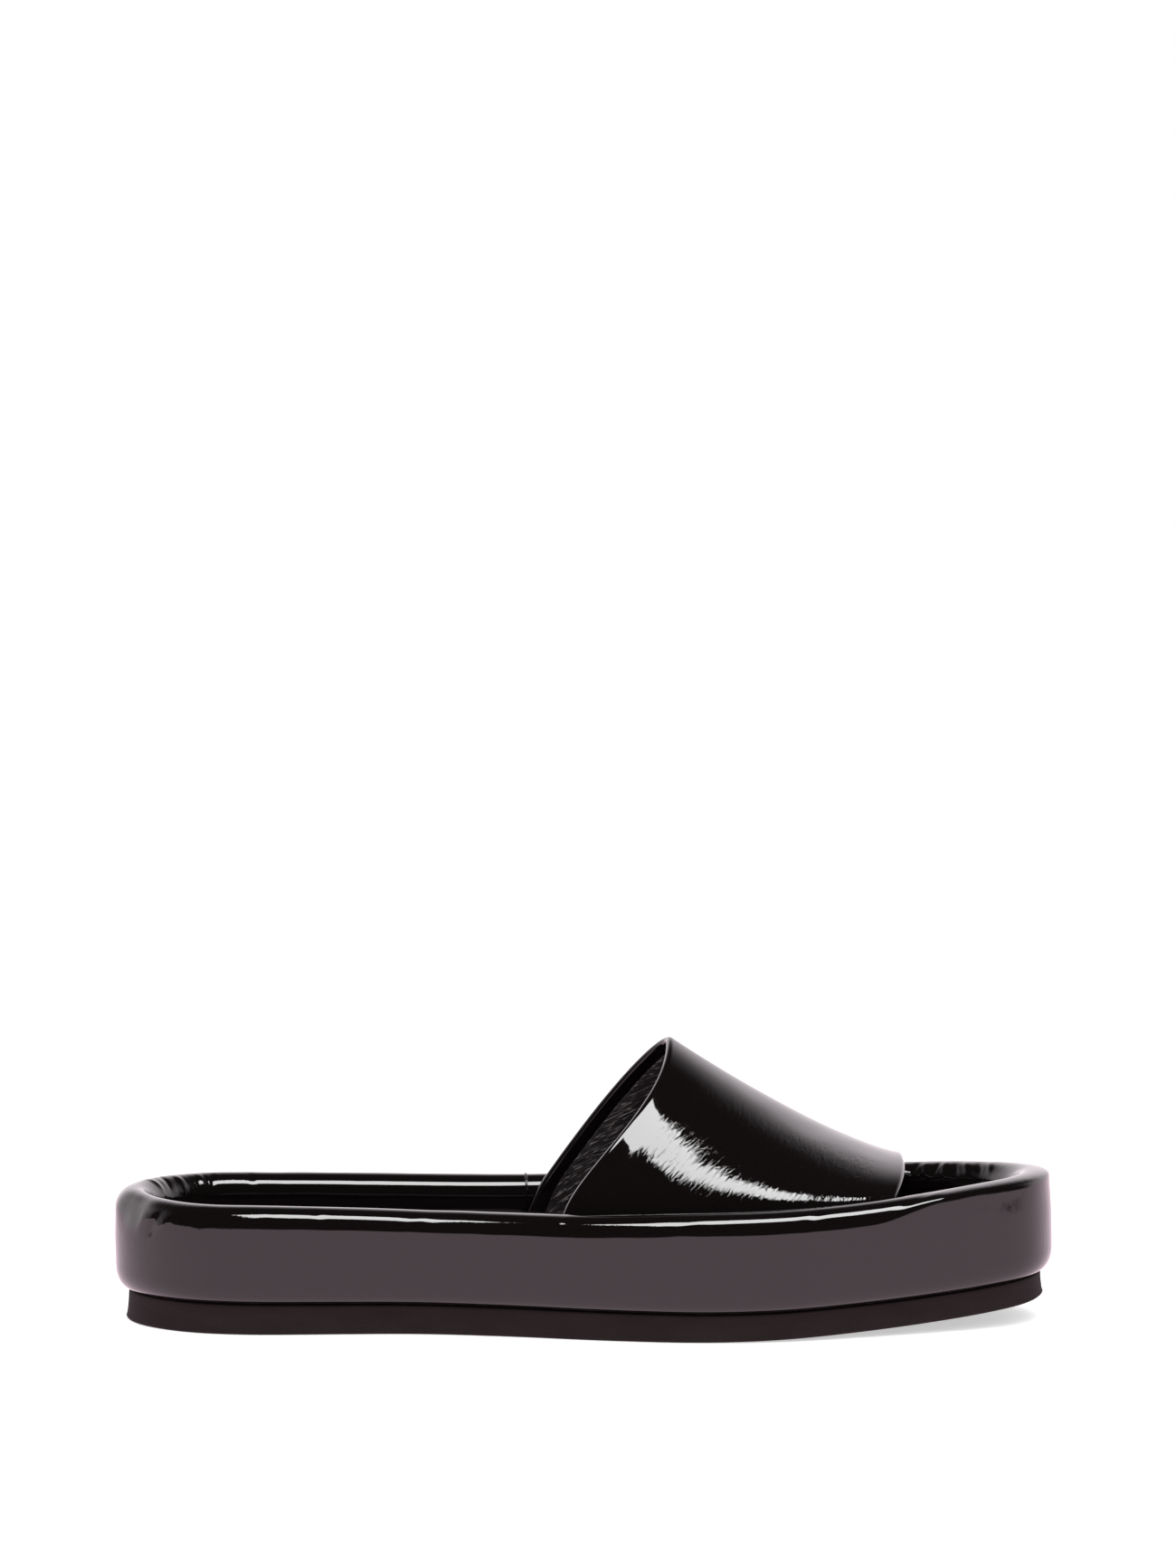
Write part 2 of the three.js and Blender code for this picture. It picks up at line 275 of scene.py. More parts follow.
@dataclass(frozen=True)
class SoleForm:
    """Outline and heights that the outsole, the platform, the insole and the strap share.

    Attributes:
        length: Length of the outsole.
        toe_across: Place of the toe's tip towards the inner side, as a share of half the ball's width.
        outsole_heel: Thickness of the outsole at the heel.
        outsole_toe: Its thickness at the toe.
        toe_spring: Height of the toe's tip over the floor.
        spring_start: Share of the length at which the toe spring begins.
        clearance: Gap between pieces that meet.
        platform_height: Height of the platform's crest over its underside.
        platform_base: Thickness of the platform under the insole.
        rim_overhang: How far the platform stands out over the outsole.
        rim_thickness: Thickness of the rim.
        toe_rake: How far the rim leans back over the toes.
        toe_rake_start: Share of the length at which it begins to lean.
        arch_rise: Height of the footbed's rise under the arch of the foot.
        arch_place: Share of the length at which that rise is highest.
        arch_reach: Half of its length, as a share of the whole.
        stations: Points round the outline.
        spline_steps: Points drawn between two of its corners.
        crest_steps: Points drawn along each side of the crest.
        outline_softness: Reach of the smoothing round the outline.
        crest_softness: Reach of the smoothing along the crest.
        points: Points of the outline, from above.
        outwards: Outward direction at each of them.
        around: Distance of each from the heel round the outline, and at its end the whole girth.
        middle: What the outline is moved by, so that the sandal stands over its origin.
    """

    length: float = 269.0
    toe_across: float = 0.08
    outsole_heel: float = 8.8
    outsole_toe: float = 7.2
    toe_spring: float = 6.8
    spring_start: float = 0.6
    clearance: float = 0.3
    platform_height: float = 29.1
    platform_base: float = 14.4
    rim_overhang: float = 3.8
    rim_thickness: float = 12.0
    toe_rake: float = 1.8
    toe_rake_start: float = 0.8
    arch_rise: float = 2.2
    arch_place: float = 0.39
    arch_reach: float = 0.13
    stations: int = 840
    spline_steps: int = 24
    crest_steps: int = 540
    outline_softness: float = 4.0
    crest_softness: float = 6.0
    points: Array = field(init=False, repr=False)
    outwards: Array = field(init=False, repr=False)
    around: Array = field(init=False, repr=False)
    middle: Array = field(init=False, repr=False)

    def __post_init__(self) -> None:
        """Draws the outline once, with its outward directions and the distance round it."""
        corners = [(0.0, 0.0)]
        corners += [(row.along * self.length, -row.outer * row.width / 2) for row in OUTLINE]
        corners += [(self.length, self.toe_across * BALL_WIDTH / 2)]
        corners += [(row.along * self.length, row.inner * row.width / 2) for row in reversed(OUTLINE)]
        curve = closed_spline(np.array(corners), self.spline_steps)
        line = evenly_spaced(np.vstack([curve, curve[:1]]), self.stations + 1)
        spacing = lengths_along(line)[-1] / self.stations
        points = soften(line[:-1], self.outline_softness / spacing, 0, True)
        tangent = np.roll(points, -1, axis=0) - np.roll(points, 1, axis=0)
        tangent /= np.linalg.norm(tangent, axis=1, keepdims=True)
        object.__setattr__(self, "points", points)
        object.__setattr__(self, "outwards", np.stack([tangent[:, 1], -tangent[:, 0]], axis=1))
        object.__setattr__(self, "around", lengths_along(np.vstack([points, points[:1]])))
        lowest, highest = SOLID_BOX
        centre = (np.array(lowest[:2]) + np.array(highest[:2])) / 2 / MM
        edge = points + self.outwards * self.rim_overhang
        object.__setattr__(self, "middle", (edge.min(axis=0) + edge.max(axis=0)) / 2 - centre)

    @property
    def platform_foot(self) -> float:
        """Height of the platform's underside at the heel."""
        return self.outsole_heel + self.clearance

    @property
    def inner_face(self) -> float:
        """Inner face of the rim, inward from the outsole's edge."""
        return self.rim_thickness - self.rim_overhang

    def toe_lift(self, x: Array | float) -> Array:
        """Height added by the toe spring at a distance from the heel."""
        share = np.maximum(0, np.asarray(x) / self.length - self.spring_start) / (1 - self.spring_start)
        return self.toe_spring * share**2

    def outsole_top(self, x: Array) -> Array:
        """Height of the outsole's upper face."""
        return blend(self.outsole_heel, self.outsole_toe, np.clip(x / self.length, 0, 1)) + self.toe_lift(x)

    def tray_floor(self, x: Array | float) -> Array:
        """Height of the platform's upper face inside the rim.

        Args:
            x: Distances from the heel.

        Returns:
            The heights.
        """
        from_arch = (np.asarray(x) / self.length - self.arch_place) / self.arch_reach
        arch = self.arch_rise * np.exp(-(from_arch**2))
        return self.platform_foot + self.platform_base + arch + self.toe_lift(x)

    def toe_set_back(self, x: Array) -> Array:
        """How far the rim leans back over the toes."""
        return self.toe_rake * smoothstep(x / self.length, self.toe_rake_start, 1)

    def crest_height(self, x: Array, y: Array) -> Array:
        """Height of the rim's crest. Its two sides run into each other round the heel and the toe.

        Args:
            x: Distances from the heel.
            y: Distances across, towards the inner side.

        Returns:
            The heights.
        """
        along = np.clip(np.asarray(x) / self.length, 0, 1)
        fine = np.linspace(0, 1, self.crest_steps + 1)
        towards_inner = smoothstep(y, -HEEL_WIDTH / 2, HEEL_WIDTH / 2)
        places = [row.along for row in CRESTS]
        sides = []
        for side in Side:
            heights = np.interp(fine, places, [getattr(row, side.value) for row in CRESTS])
            soft = soften(heights, self.crest_softness / self.length * self.crest_steps, 0, False)
            sides.append(np.interp(along, fine, soft))
        share = blend(sides[0], sides[1], towards_inner)
        return self.platform_foot + self.platform_height * share + self.toe_lift(x)

    def loop(self, inset: Callable[[Array], Array], height: Callable[[Array, Array], Array]) -> Array:
        """A closed loop round the sole.

        Args:
            inset: Distance inward from the outsole's edge, for each distance from the heel.
            height: Height, for each place.

        Returns:
            Points as (station, 3).
        """
        inwards = np.broadcast_to(inset(self.points[:, 0]), (self.stations,))
        plan = self.points - self.outwards * inwards[:, None]
        x, y = plan.T
        return np.column_stack([x, y, np.broadcast_to(height(x, y), x.shape)])

    def placed(self, points: Array) -> Array:
        """The points moved into the sandal's own frame, whose origin is under the middle of the whole.

        Args:
            points: Points measured from the heel.

        Returns:
            The moved points.
        """
        moved = np.array(points, float)
        moved[..., 0] -= self.middle[0]
        moved[..., 1] -= self.middle[1]
        return moved

    def station(self, along: float, side: Side) -> int:
        """The station on one side that is nearest to a share of the sole's length.

        Args:
            along: Share of the length.
            side: Side of the foot.

        Returns:
            Number of the station.
        """
        y = self.points[:, 1]
        here = np.flatnonzero(y < 0 if side is Side.OUTER else y >= 0)
        return int(here[np.argmin(np.abs(self.points[here, 0] - along * self.length))])

    def beside_rim(self, x: Array, side: Side) -> Array:
        """Where the strap's outer face runs down beside the rim.

        Args:
            x: Distances from the heel.
            side: Side of the foot.

        Returns:
            Distances across.
        """
        beside = self.inner_face + self.clearance
        line = self.loop(lambda x: beside + self.toe_set_back(x), lambda x, y: 0 * x)
        heel, toe = int(np.argmin(line[:, 0])), int(np.argmax(line[:, 0]))
        around = np.roll(line, -heel, axis=0)
        toe = (toe - heel) % len(line)
        half = around[: toe + 1] if side is Side.OUTER else np.vstack([around[toe:], around[:1]])[::-1]
        return np.interp(x, half[:, 0], half[:, 1])


# Meshes


@dataclass
class Piece:
    """A finished piece and what it stands for.

    Attributes:
        obj: The piece.
        node: Solid that it replaces, or None for a piece that is only laid on.
        slot: Material slot of the record; not used.
        fill: How full it is padded, or None if it isn't; not used.
    """

    obj: bpy.types.Object
    node: str | None
    slot: str
    fill: float | None = None

    def hand_over(self) -> None:
        """Fastens the piece to the sandal and reports it."""
        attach(self.obj, "root")
        if self.node:
            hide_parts(self.node)
        self.obj.data.calc_loop_triangles()
        triangles = len(self.obj.data.loop_triangles)
        log.info("%s: %d triangles, stands for %s", self.obj.name, triangles, self.node)


def new_object(name: str, data: bpy.types.ID) -> bpy.types.Object:
    """Adds an object to the scene.

    Args:
        name: Name of the object.
        data: Its mesh, light or camera.

    Returns:
        The object.
    """
    obj = bpy.data.objects.new(name, data)
    bpy.context.scene.collection.objects.link(obj)
    return obj


def skin(
    name: str, loops: Array, around: Array, down: Array, finish: bpy.types.Material
) -> bpy.types.Object:
    """A closed body whose skin runs from loop to loop.

    Args:
        name: Name of the piece.
        loops: Points in mm, as (loop, station, 3). Each loop closes and turns left round the way onwards.
        around: Distance of each station round the loop, and at its end the whole length.
        down: Distance of each loop, along the skin.
        finish: Material of the whole body.

    Returns:
        The object, with a UV map in millimetres.
    """
    levels, count = loops.shape[:2]
    step = np.arange(count)
    following = (step + 1) % count
    level = np.arange(levels - 1)[:, None] * count
    quads = np.stack(
        [level + step, level + following, level + following + count, level + step + count], axis=-1
    ).reshape(-1, 4)
    faces = quads.tolist()
    for start, onwards in ((0, False), ((levels - 1) * count, True)):
        for rung in range(count // 2):
            places = (rung, rung + 1, count - rung - 1, (count - rung) % count)
            corners = list(dict.fromkeys(start + place for place in places))
            if len(corners) > 2:
                faces.append(corners if onwards else corners[::-1])
    mesh = bpy.data.meshes.new(name)
    mesh.from_pydata((loops.reshape(-1, 3) * MM).tolist(), [], faces)
    sides = np.stack([step, step + 1, step + 1, step], axis=-1)
    u = np.broadcast_to(np.asarray(around)[sides], (levels - 1, count, 4))
    v = np.stack([down[:-1], down[:-1], down[1:], down[1:]], axis=-1)[:, None, :].repeat(count, axis=1)
    grid_uv = np.stack([u, v], axis=-1).reshape(-1, 2)
    flat = loops.reshape(-1, 3)
    corner_of = np.empty(len(mesh.loops), dtype=np.int32)
    mesh.loops.foreach_get("vertex_index", corner_of)
    rest = flat[corner_of[len(grid_uv) :], :2]
    layer = mesh.uv_layers.new(name="leather_mm")
    layer.data.foreach_set("uv", np.concatenate([grid_uv, rest]).astype(np.float32).ravel())
    mesh.polygons.foreach_set("use_smooth", np.ones(len(mesh.polygons), dtype=bool))
    mesh.materials.append(finish)
    mesh.update()
    return new_object(name, mesh)


def paint(obj: bpy.types.Object, name: str, values: Array) -> None:
    """Stores one number at each vertex of a piece, for its material to read."""
    layer = obj.data.attributes.new(name, "FLOAT", "POINT")
    layer.data.foreach_set("value", values.astype(np.float32).ravel())


@dataclass(frozen=True)
class Fold:
    """A soft ridge or trough in leather.

    Attributes:
        along: Place of its middle. On the platform it is a share of the sole's length, on the strap the
            distance from the rear edge.
        side: Side of the foot.
        down: Place of its middle. On the platform it is the distance from the crest, down the outer face or
            negative down the inner one, on the strap the distance from the middle of the arch, negative
            towards the fold's side.
        length: Length of the fold.
        width: Its width from the middle to the flank.
        height: Its height; a trough is negative.
        slant: Degrees that its upper end is turned towards the toe.
    """

    along: float
    side: Side
    down: float
    length: float
    width: float
    height: float
    slant: float = 0.0

    def relief(self, from_middle: Array, below_middle: Array) -> Array:
        """Height that the fold adds, at distances along the piece and down it from the fold's middle.

        Args:
            from_middle: Distances along the piece.
            below_middle: Distances down it.

        Returns:
            The heights.
        """
        turn = math.radians(self.slant)
        lengthwise = below_middle * math.cos(turn) - from_middle * math.sin(turn)
        crosswise = from_middle * math.cos(turn) + below_middle * math.sin(turn)
        window = np.exp(-((np.abs(lengthwise) / (self.length / 2)) ** 3))
        return self.height * np.exp(-((crosswise / self.width) ** 2)) * window


@dataclass(frozen=True)
class Swell:
    """A long soft ridge that follows a curved line over the strap.

    Attributes:
        line: Places on the ridge as distance from the rear edge and from the middle of the arch, in mm.
        width: Its width from the middle to the flank.
        height: Its height.
        start: Distances from the rear edge between which it rises.
        fade: Distances from the rear edge between which it sinks.
        end_share: Share of its height that is left where it has sunk.
    """

    line: tuple[tuple[float, float], ...]
    width: float
    height: float
    start: tuple[float, float]
    fade: tuple[float, float]
    end_share: float

    def relief(self, along: Array, across: Array) -> Array:
        """Height that the ridge adds at places on the strap.

        Args:
            along: Distances from the rear edge.
            across: Distances from the middle of the arch.

        Returns:
            The heights.
        """
        middle = np.interp(along, *zip(*self.line))
        left = blend(1.0, self.end_share, smoothstep(along, *self.fade))
        height = self.height * smoothstep(along, *self.start) * left
        return height * np.exp(-(((across - middle) / self.width) ** 2))


# Creases that the leather took when it was pulled over the foam and round the last

PLATFORM_FOLDS = (
    # round the heel
    Fold(0.018, Side.OUTER, 6.5, 13.0, 5.0, -1.1, 80),
    Fold(0.03, Side.OUTER, 10.0, 8.0, 1.3, 0.2, 22),
    Fold(0.045, Side.OUTER, 10.0, 9.0, 1.2, -0.3, 30),
    Fold(0.056, Side.OUTER, 9.0, 7.0, 1.1, 0.2, 34),
    Fold(0.097, Side.OUTER, 6.0, 6.0, 1.6, -0.12, 40),
    Fold(0.013, Side.INNER, -3.5, 7.0, 1.1, 0.35),
    Fold(0.024, Side.INNER, -3.5, 7.0, 0.9, -0.35, -12),
    Fold(0.04, Side.INNER, -4.0, 6.0, 1.0, 0.3, 8),
    Fold(0.066, Side.INNER, -4.5, 6.0, 0.8, 0.28, 6),
    Fold(0.08, Side.INNER, -4.5, 6.0, 0.8, -0.25, -8),
    Fold(0.128, Side.INNER, -3.5, 5.0, 0.9, -0.2, 18),
    # along the outer side
    Fold(0.16, Side.OUTER, 5.0, 5.0, 1.4, 0.1, -40),
    Fold(0.215, Side.OUTER, 4.6, 6.0, 1.2, -0.1, -50),
    Fold(0.32, Side.OUTER, 5.4, 8.0, 1.6, 0.08, 65),
    Fold(0.475, Side.OUTER, 4.6, 5.0, 1.2, 0.12, 35),
    Fold(0.61, Side.OUTER, 6.0, 9.0, 1.7, 0.08, 70),
    Fold(0.74, Side.OUTER, 5.0, 8.0, 1.4, -0.1, 60),
    # round the toe, outside
    Fold(0.845, Side.OUTER, 5.0, 14.0, 1.6, -0.12, 78),
    Fold(0.87, Side.OUTER, 3.6, 9.0, 1.2, 0.1, 70),
    Fold(0.908, Side.OUTER, 7.5, 9.0, 0.6, 0.03, 84),
    Fold(0.915, Side.OUTER, 10.0, 11.0, 0.6, -0.035, 90),
    Fold(0.912, Side.OUTER, 13.0, 9.0, 0.6, 0.03, 95),
    Fold(0.955, Side.OUTER, 10.0, 14.0, 3.6, -0.06, 60),
    Fold(0.975, Side.OUTER, 13.0, 14.0, 3.0, 0.05, 48),
    # round the toe, inside
    Fold(0.862, Side.INNER, -4.5, 5.0, 0.8, 0.28, 10),
    Fold(0.875, Side.INNER, -4.0, 5.0, 0.8, -0.3, -14),
    Fold(0.888, Side.INNER, -4.5, 6.0, 0.8, 0.32, 20),
    Fold(0.9, Side.INNER, -4.2, 5.0, 0.7, -0.28, -6),
    Fold(0.911, Side.INNER, -4.0, 6.0, 0.8, 0.3, 16),
    Fold(0.923, Side.INNER, -4.4, 5.0, 0.7, -0.28, 30),
    Fold(0.936, Side.INNER, -3.6, 6.0, 0.9, 0.3, 34),
    Fold(0.95, Side.INNER, -3.4, 6.0, 0.9, -0.28, 38),
    Fold(0.963, Side.INNER, -3.2, 6.0, 0.9, 0.26, 40),
)

BELLY = Swell(
    line=(
        (0.0, -23.0),
        (8.5, -30.5),
        (17.3, -37.0),
        (23.6, -40.5),
        (36.8, -44.5),
        (51.5, -46.0),
        (64.6, -46.0),
        (80.0, -48.0),
    ),
    width=7.4,
    height=0.95,
    start=(-6.0, 10.0),
    fade=(15.0, 60.0),
    end_share=0.32,
)

STRAP_FOLDS = (
    # the hollow under the belly
    Fold(11.0, Side.OUTER, -46.0, 26.0, 6.5, -0.45, 50),
    # along the belly
    Fold(18.0, Side.OUTER, -34.0, 9.0, 1.3, 0.05, 28),
    Fold(23.0, Side.OUTER, -37.0, 10.0, 1.4, -0.05, 34),
    Fold(29.0, Side.OUTER, -39.0, 9.0, 1.2, 0.05, 30),
    Fold(35.0, Side.OUTER, -41.0, 10.0, 1.4, -0.05, 38),
    Fold(43.0, Side.OUTER, -42.0, 9.0, 1.3, 0.045, 32),
    Fold(52.0, Side.OUTER, -43.0, 9.0, 1.5, -0.045, 36),
    Fold(63.0, Side.OUTER, -43.0, 8.0, 1.4, 0.04, 26),
    # over the foot
    Fold(30.0, Side.OUTER, -4.0, 26.0, 4.0, 0.08, -34),
    Fold(52.0, Side.OUTER, 2.0, 24.0, 4.0, -0.08, -38),
)


# Finishes


def linear(colour: str) -> tuple[float, float, float, float]:
    """Linear colour from an sRGB hex value.

    Args:
        colour: Hex value with its leading mark.

    Returns:
        Red, green, blue and an alpha of 1.
    """
    parts = [int(colour[start : start + 2], 16) / 255 for start in (1, 3, 5)]
    values = [part / 12.92 if part <= 0.04045 else ((part + 0.055) / 1.055) ** 2.4 for part in parts]
    return (*values, 1.0)


def add(
    tree: bpy.types.NodeTree, kind: str, inputs: dict | None = None, **settings: object
) -> bpy.types.Node:
    """Adds a node with its settings and links.

    Args:
        tree: Node tree.
        kind: Blender's name of the node's type.
        inputs: Value or output socket for each input, by its name or place.
        **settings: Settings of the node.

    Returns:
        The node.
    """
    made = tree.nodes.new(kind)
    for name, value in settings.items():
        setattr(made, name, value)
    for name, value in (inputs or {}).items():
        if isinstance(value, bpy.types.NodeSocket):
            tree.links.new(value, made.inputs[name])
        else:
            made.inputs[name].default_value = value
    return made


def start_material(name: str) -> tuple[bpy.types.Material, bpy.types.NodeTree, bpy.types.Node]:
    """A new material with its tree and its Principled shader.

    Args:
        name: Name of the material.

    Returns:
        The material, its node tree and its shader.
    """
    material = bpy.data.materials.new(name)
    material.use_nodes = True
    tree = material.node_tree
    tree.nodes.clear()
    shader = add(tree, "ShaderNodeBsdfPrincipled")
    add(tree, "ShaderNodeOutputMaterial", {"Surface": shader.outputs["BSDF"]})
    return material, tree, shader


def scaled_noise(
    tree: bpy.types.NodeTree,
    vector: bpy.types.NodeSocket,
    size: tuple[float, float],
    detail: float,
    warp: float = 0.0,
) -> bpy.types.NodeSocket:
    """Noise on a UV map in millimetres, from about 0 to 1.

    Args:
        tree: Node tree.
        vector: The UV map's output.
        size: Size of a wave along the piece and across it, in mm.
        detail: Detail of the noise.
        warp: Distortion of the noise.

    Returns:
        The noise's output.
    """
    scale = (1 / size[0], 1 / size[1], 1.0)
    mapped = add(tree, "ShaderNodeMapping", {"Vector": vector, "Scale": scale})
    inputs = {"Vector": mapped.outputs["Vector"], "Scale": 1.0, "Detail": detail, "Distortion": warp}
    return add(tree, "ShaderNodeTexNoise", inputs, noise_dimensions="2D").outputs["Fac"]


def layered_relief(
    tree: bpy.types.NodeTree, layers: tuple[tuple[bpy.types.NodeSocket, float], ...]
) -> bpy.types.NodeSocket:
    """Normal of a surface with layers of fine relief laid over each other.

    Args:
        tree: Node tree.
        layers: For each layer the output that draws it from 0 to 1, and its height in mm.

    Returns:
        The last layer's normal.
    """
    below = {}
    for pattern, height in layers:
        inputs = {"Strength": 1.0, "Distance": height * MM, "Height": pattern, **below}
        below = {"Normal": add(tree, "ShaderNodeBump", inputs).outputs["Normal"]}
    return below["Normal"]


@dataclass(frozen=True)
class PatentLeather:
    """Patent leather: calf split under a poured, self-levelling polyurethane film.

    The film gives the eye a deep black with a mirror on it, broken only where the leather below is creased:
    long soft waves, and fine sharp crinkles where it has been pulled. All sizes and heights are in mm.
    """

    colour: str = "#0b0707"
    leather_roughness: float = 0.4
    leather_ior: float = 1.45
    film_ior: float = 1.5
    film_roughness: float = 0.035
    wave_size: float = 9.0
    wave_height: float = 0.02
    pebble_size: float = 1.6
    pebble_height: float = 0.0025
    crinkle_size: tuple[float, float] = (1.2, 4.5)
    crinkle_height: float = 0.08

    def build(self, name: str) -> bpy.types.Material:
        """The material; crinkles show where the piece's attribute "crinkles" is above 0.

        Args:
            name: Name of the material.

        Returns:
            The material.
        """
        material, tree, shader = start_material(name)
        place = add(tree, "ShaderNodeUVMap", uv_map="leather_mm").outputs["UV"]
        waves = scaled_noise(tree, place, (self.wave_size, self.wave_size), 2.0)
        pebbles = scaled_noise(tree, place, (self.pebble_size, self.pebble_size), 1.0)
        crinkles = scaled_noise(tree, place, self.crinkle_size, 3.0, 0.6)
        mask = add(tree, "ShaderNodeAttribute", attribute_name="crinkles").outputs["Fac"]
        masked = add(tree, "ShaderNodeMath", {0: crinkles, 1: mask}, operation="MULTIPLY").outputs[0]
        layers = ((waves, self.wave_height), (pebbles, self.pebble_height), (masked, self.crinkle_height))
        normal = layered_relief(tree, layers)
        shader.inputs["Base Color"].default_value = linear(self.colour)
        shader.inputs["Roughness"].default_value = self.leather_roughness
        shader.inputs["IOR"].default_value = self.leather_ior
        shader.inputs["Specular IOR Level"].default_value = 0.0
        shader.inputs["Coat Weight"].default_value = 1.0
        shader.inputs["Coat Roughness"].default_value = self.film_roughness
        shader.inputs["Coat IOR"].default_value = self.film_ior
        tree.links.new(normal, shader.inputs["Normal"])
        tree.links.new(normal, shader.inputs["Coat Normal"])
        return material


@dataclass(frozen=True)
class LiningLeather:
    """Lining leather: thin drum-dyed pigskin or calf with a pressed grain, wiped with a matt wax.

    The grain breaks the light into a satin haze, and short slanting wrinkles catch bright strokes. Their
    crests are also painted a lighter colour, a painted highlight. All sizes and heights are in mm.
    """

    colour: str = "#221b1c"
    # painted highlight: the lighter colour laid on the wrinkles' crests
    painted_highlight_colour: str = "#7a7071"
    roughness: float = 0.33
    grain_size: float = 0.9
    grain_height: float = 0.05
    wrinkle_size: tuple[float, float] = (0.6, 2.8)
    wrinkle_height: float = 0.5
    wrinkle_turn: float = 35.0
    painted_highlight_heights: tuple[float, float] = (0.58, 0.7)
    cloud_size: tuple[float, float] = (14.0, 14.0)
    cloud_spread: float = 0.07
    ior: float = 1.45
    shine: float = 0.45

    def build(self, name: str) -> bpy.types.Material:
        """The material; wrinkles, with a painted highlight on their crests, show where the piece's attribute
        "crinkles" is above 0.

        Args:
            name: Name of the material.

        Returns:
            The material.
        """
        material, tree, shader = start_material(name)
        place = add(tree, "ShaderNodeUVMap", uv_map="leather_mm").outputs["UV"]
        inputs = {"Vector": place, "Rotation": (0, 0, math.radians(self.wrinkle_turn))}
        turned = add(tree, "ShaderNodeMapping", inputs).outputs["Vector"]
        wrinkles = scaled_noise(tree, turned, self.wrinkle_size, 2.0, 0.4)
        mask = add(tree, "ShaderNodeAttribute", attribute_name="crinkles").outputs["Fac"]
        masked = add(tree, "ShaderNodeMath", {0: wrinkles, 1: mask}, operation="MULTIPLY").outputs[0]
        inputs = {"Vector": place, "Scale": 1 / self.grain_size}
        cells = add(tree, "ShaderNodeTexVoronoi", inputs, voronoi_dimensions="2D").outputs["Distance"]
        cloud = scaled_noise(tree, place, self.cloud_size, 3.0)
        smoothest, roughest = self.roughness - self.cloud_spread, self.roughness + self.cloud_spread
        inputs = {"Value": cloud, "To Min": smoothest, "To Max": roughest}
        gloss = add(tree, "ShaderNodeMapRange", inputs).outputs["Result"]
        normal = layered_relief(tree, ((cells, self.grain_height), (masked, self.wrinkle_height)))
        # Lighter colour on the wrinkles' crests, from the wrinkle heights: a painted highlight for the bright
        # strokes they catch
        inputs = {"Value": masked, "From Min": self.painted_highlight_heights[0], "From Max": self.painted_highlight_heights[1]}
        glint_mix = add(tree, "ShaderNodeMapRange", inputs).outputs["Result"]
        inputs = {"Factor": glint_mix, "A": linear(self.colour), "B": linear(self.painted_highlight_colour)}
        tint = add(tree, "ShaderNodeMix", inputs, data_type="RGBA").outputs["Result"]
        tree.links.new(tint, shader.inputs["Base Color"])
        shader.inputs["IOR"].default_value = self.ior
        shader.inputs["Specular IOR Level"].default_value = self.shine
        tree.links.new(gloss, shader.inputs["Roughness"])
        tree.links.new(normal, shader.inputs["Normal"])
        return material


@dataclass(frozen=True)
class SoleRubber:
    """Blown rubber, die-cut from sheet with its edge sanded round.

    The edge is a matt warm black with faint lines that run along it, where the sanding belt passed. All sizes
    and heights are in mm.
    """

    colour: str = "#1c1314"
    worn_colour: str = "#261c1d"
    roughness: float = 0.8
    line_size: tuple[float, float] = (26.0, 0.55)
    line_height: float = 0.06
    pore_size: float = 0.5
    pore_height: float = 0.02
    cloud_size: tuple[float, float] = (18.0, 6.0)
    shine: float = 0.15

    def build(self, name: str) -> bpy.types.Material:
        """The material, with its sanding lines along the sole's edge.

        Args:
            name: Name of the material.

        Returns:
            The material.
        """
        material, tree, shader = start_material(name)
        place = add(tree, "ShaderNodeUVMap", uv_map="leather_mm").outputs["UV"]
        lines = scaled_noise(tree, place, self.line_size, 2.0)
        pores = scaled_noise(tree, place, (self.pore_size, self.pore_size), 2.0)
        cloud = scaled_noise(tree, place, self.cloud_size, 3.0)
        inputs = {"Factor": cloud, "A": linear(self.colour), "B": linear(self.worn_colour)}
        tint = add(tree, "ShaderNodeMix", inputs, data_type="RGBA").outputs["Result"]
        normal = layered_relief(tree, ((lines, self.line_height), (pores, self.pore_height)))
        shader.inputs["Roughness"].default_value = self.roughness
        shader.inputs["Specular IOR Level"].default_value = self.shine
        tree.links.new(tint, shader.inputs["Base Color"])
        tree.links.new(normal, shader.inputs["Normal"])
        return material


# Pieces of the sandal


@dataclass(frozen=True)
class Outsole:
    """The rubber sheet that the sandal stands on, with its cut edge.

    Attributes:
        form: The sole's form.
        flare: How far the edge flares out at its foot.
        foot_margin: Distance from the foot of the edge to the flat underside's first ring.
        edge_round: Radius of the edge's upper corner.
    """

    form: SoleForm
    flare: float = 0.8
    foot_margin: float = 4.0
    edge_round: float = 0.5

    def build(self, finish: bpy.types.Material) -> Piece:
        """Makes the outsole.

        Args:
            finish: Its material.

        Returns:
            The piece.
        """
        form = self.form
        # distance in from the outline, then share of the sheet's thickness
        rings = [
            (self.foot_margin - self.flare, 0.0),
            (self.edge_round - self.flare, 0.0),
            (self.edge_round * 0.3 - self.flare, 0.04),
            (-self.flare, 0.09),
        ]
        rings += [(-self.flare * (1 - share) ** 2, share) for share in np.linspace(0.16, 0.93, 9)]
        rings += [(self.edge_round * 0.25, 0.98), (self.edge_round, 1.0)]
        loops = np.array([self.ring(inset, share) for inset, share in rings])
        loops = form.placed(loops)
        down = lengths_along(loops[:, 0])
        return Piece(skin("outsole_rubber", loops, form.around, down, finish), "outsole", "outsole_rubber")

    def ring(self, inset: float, share: float) -> Array:
        """Loop round the sole at an inset from its outline and a share of its thickness.

        Args:
            inset: Distance inwards from the outline.
            share: Share of the thickness.

        Returns:
            Points of the loop.
        """
        form = self.form
        return form.loop(
            lambda x: inset + 0 * x, lambda x, y: blend(form.toe_lift(x), form.outsole_top(x), share)
        )


class SectionPoint(NamedTuple):
    """A point of the rim's section.

    Attributes:
        out: Distance out from the outsole's edge.
        height: Height above the platform's underside at full rim height.
        inside: Share of the way down the inner face.
    """

    out: float
    height: float
    inside: float


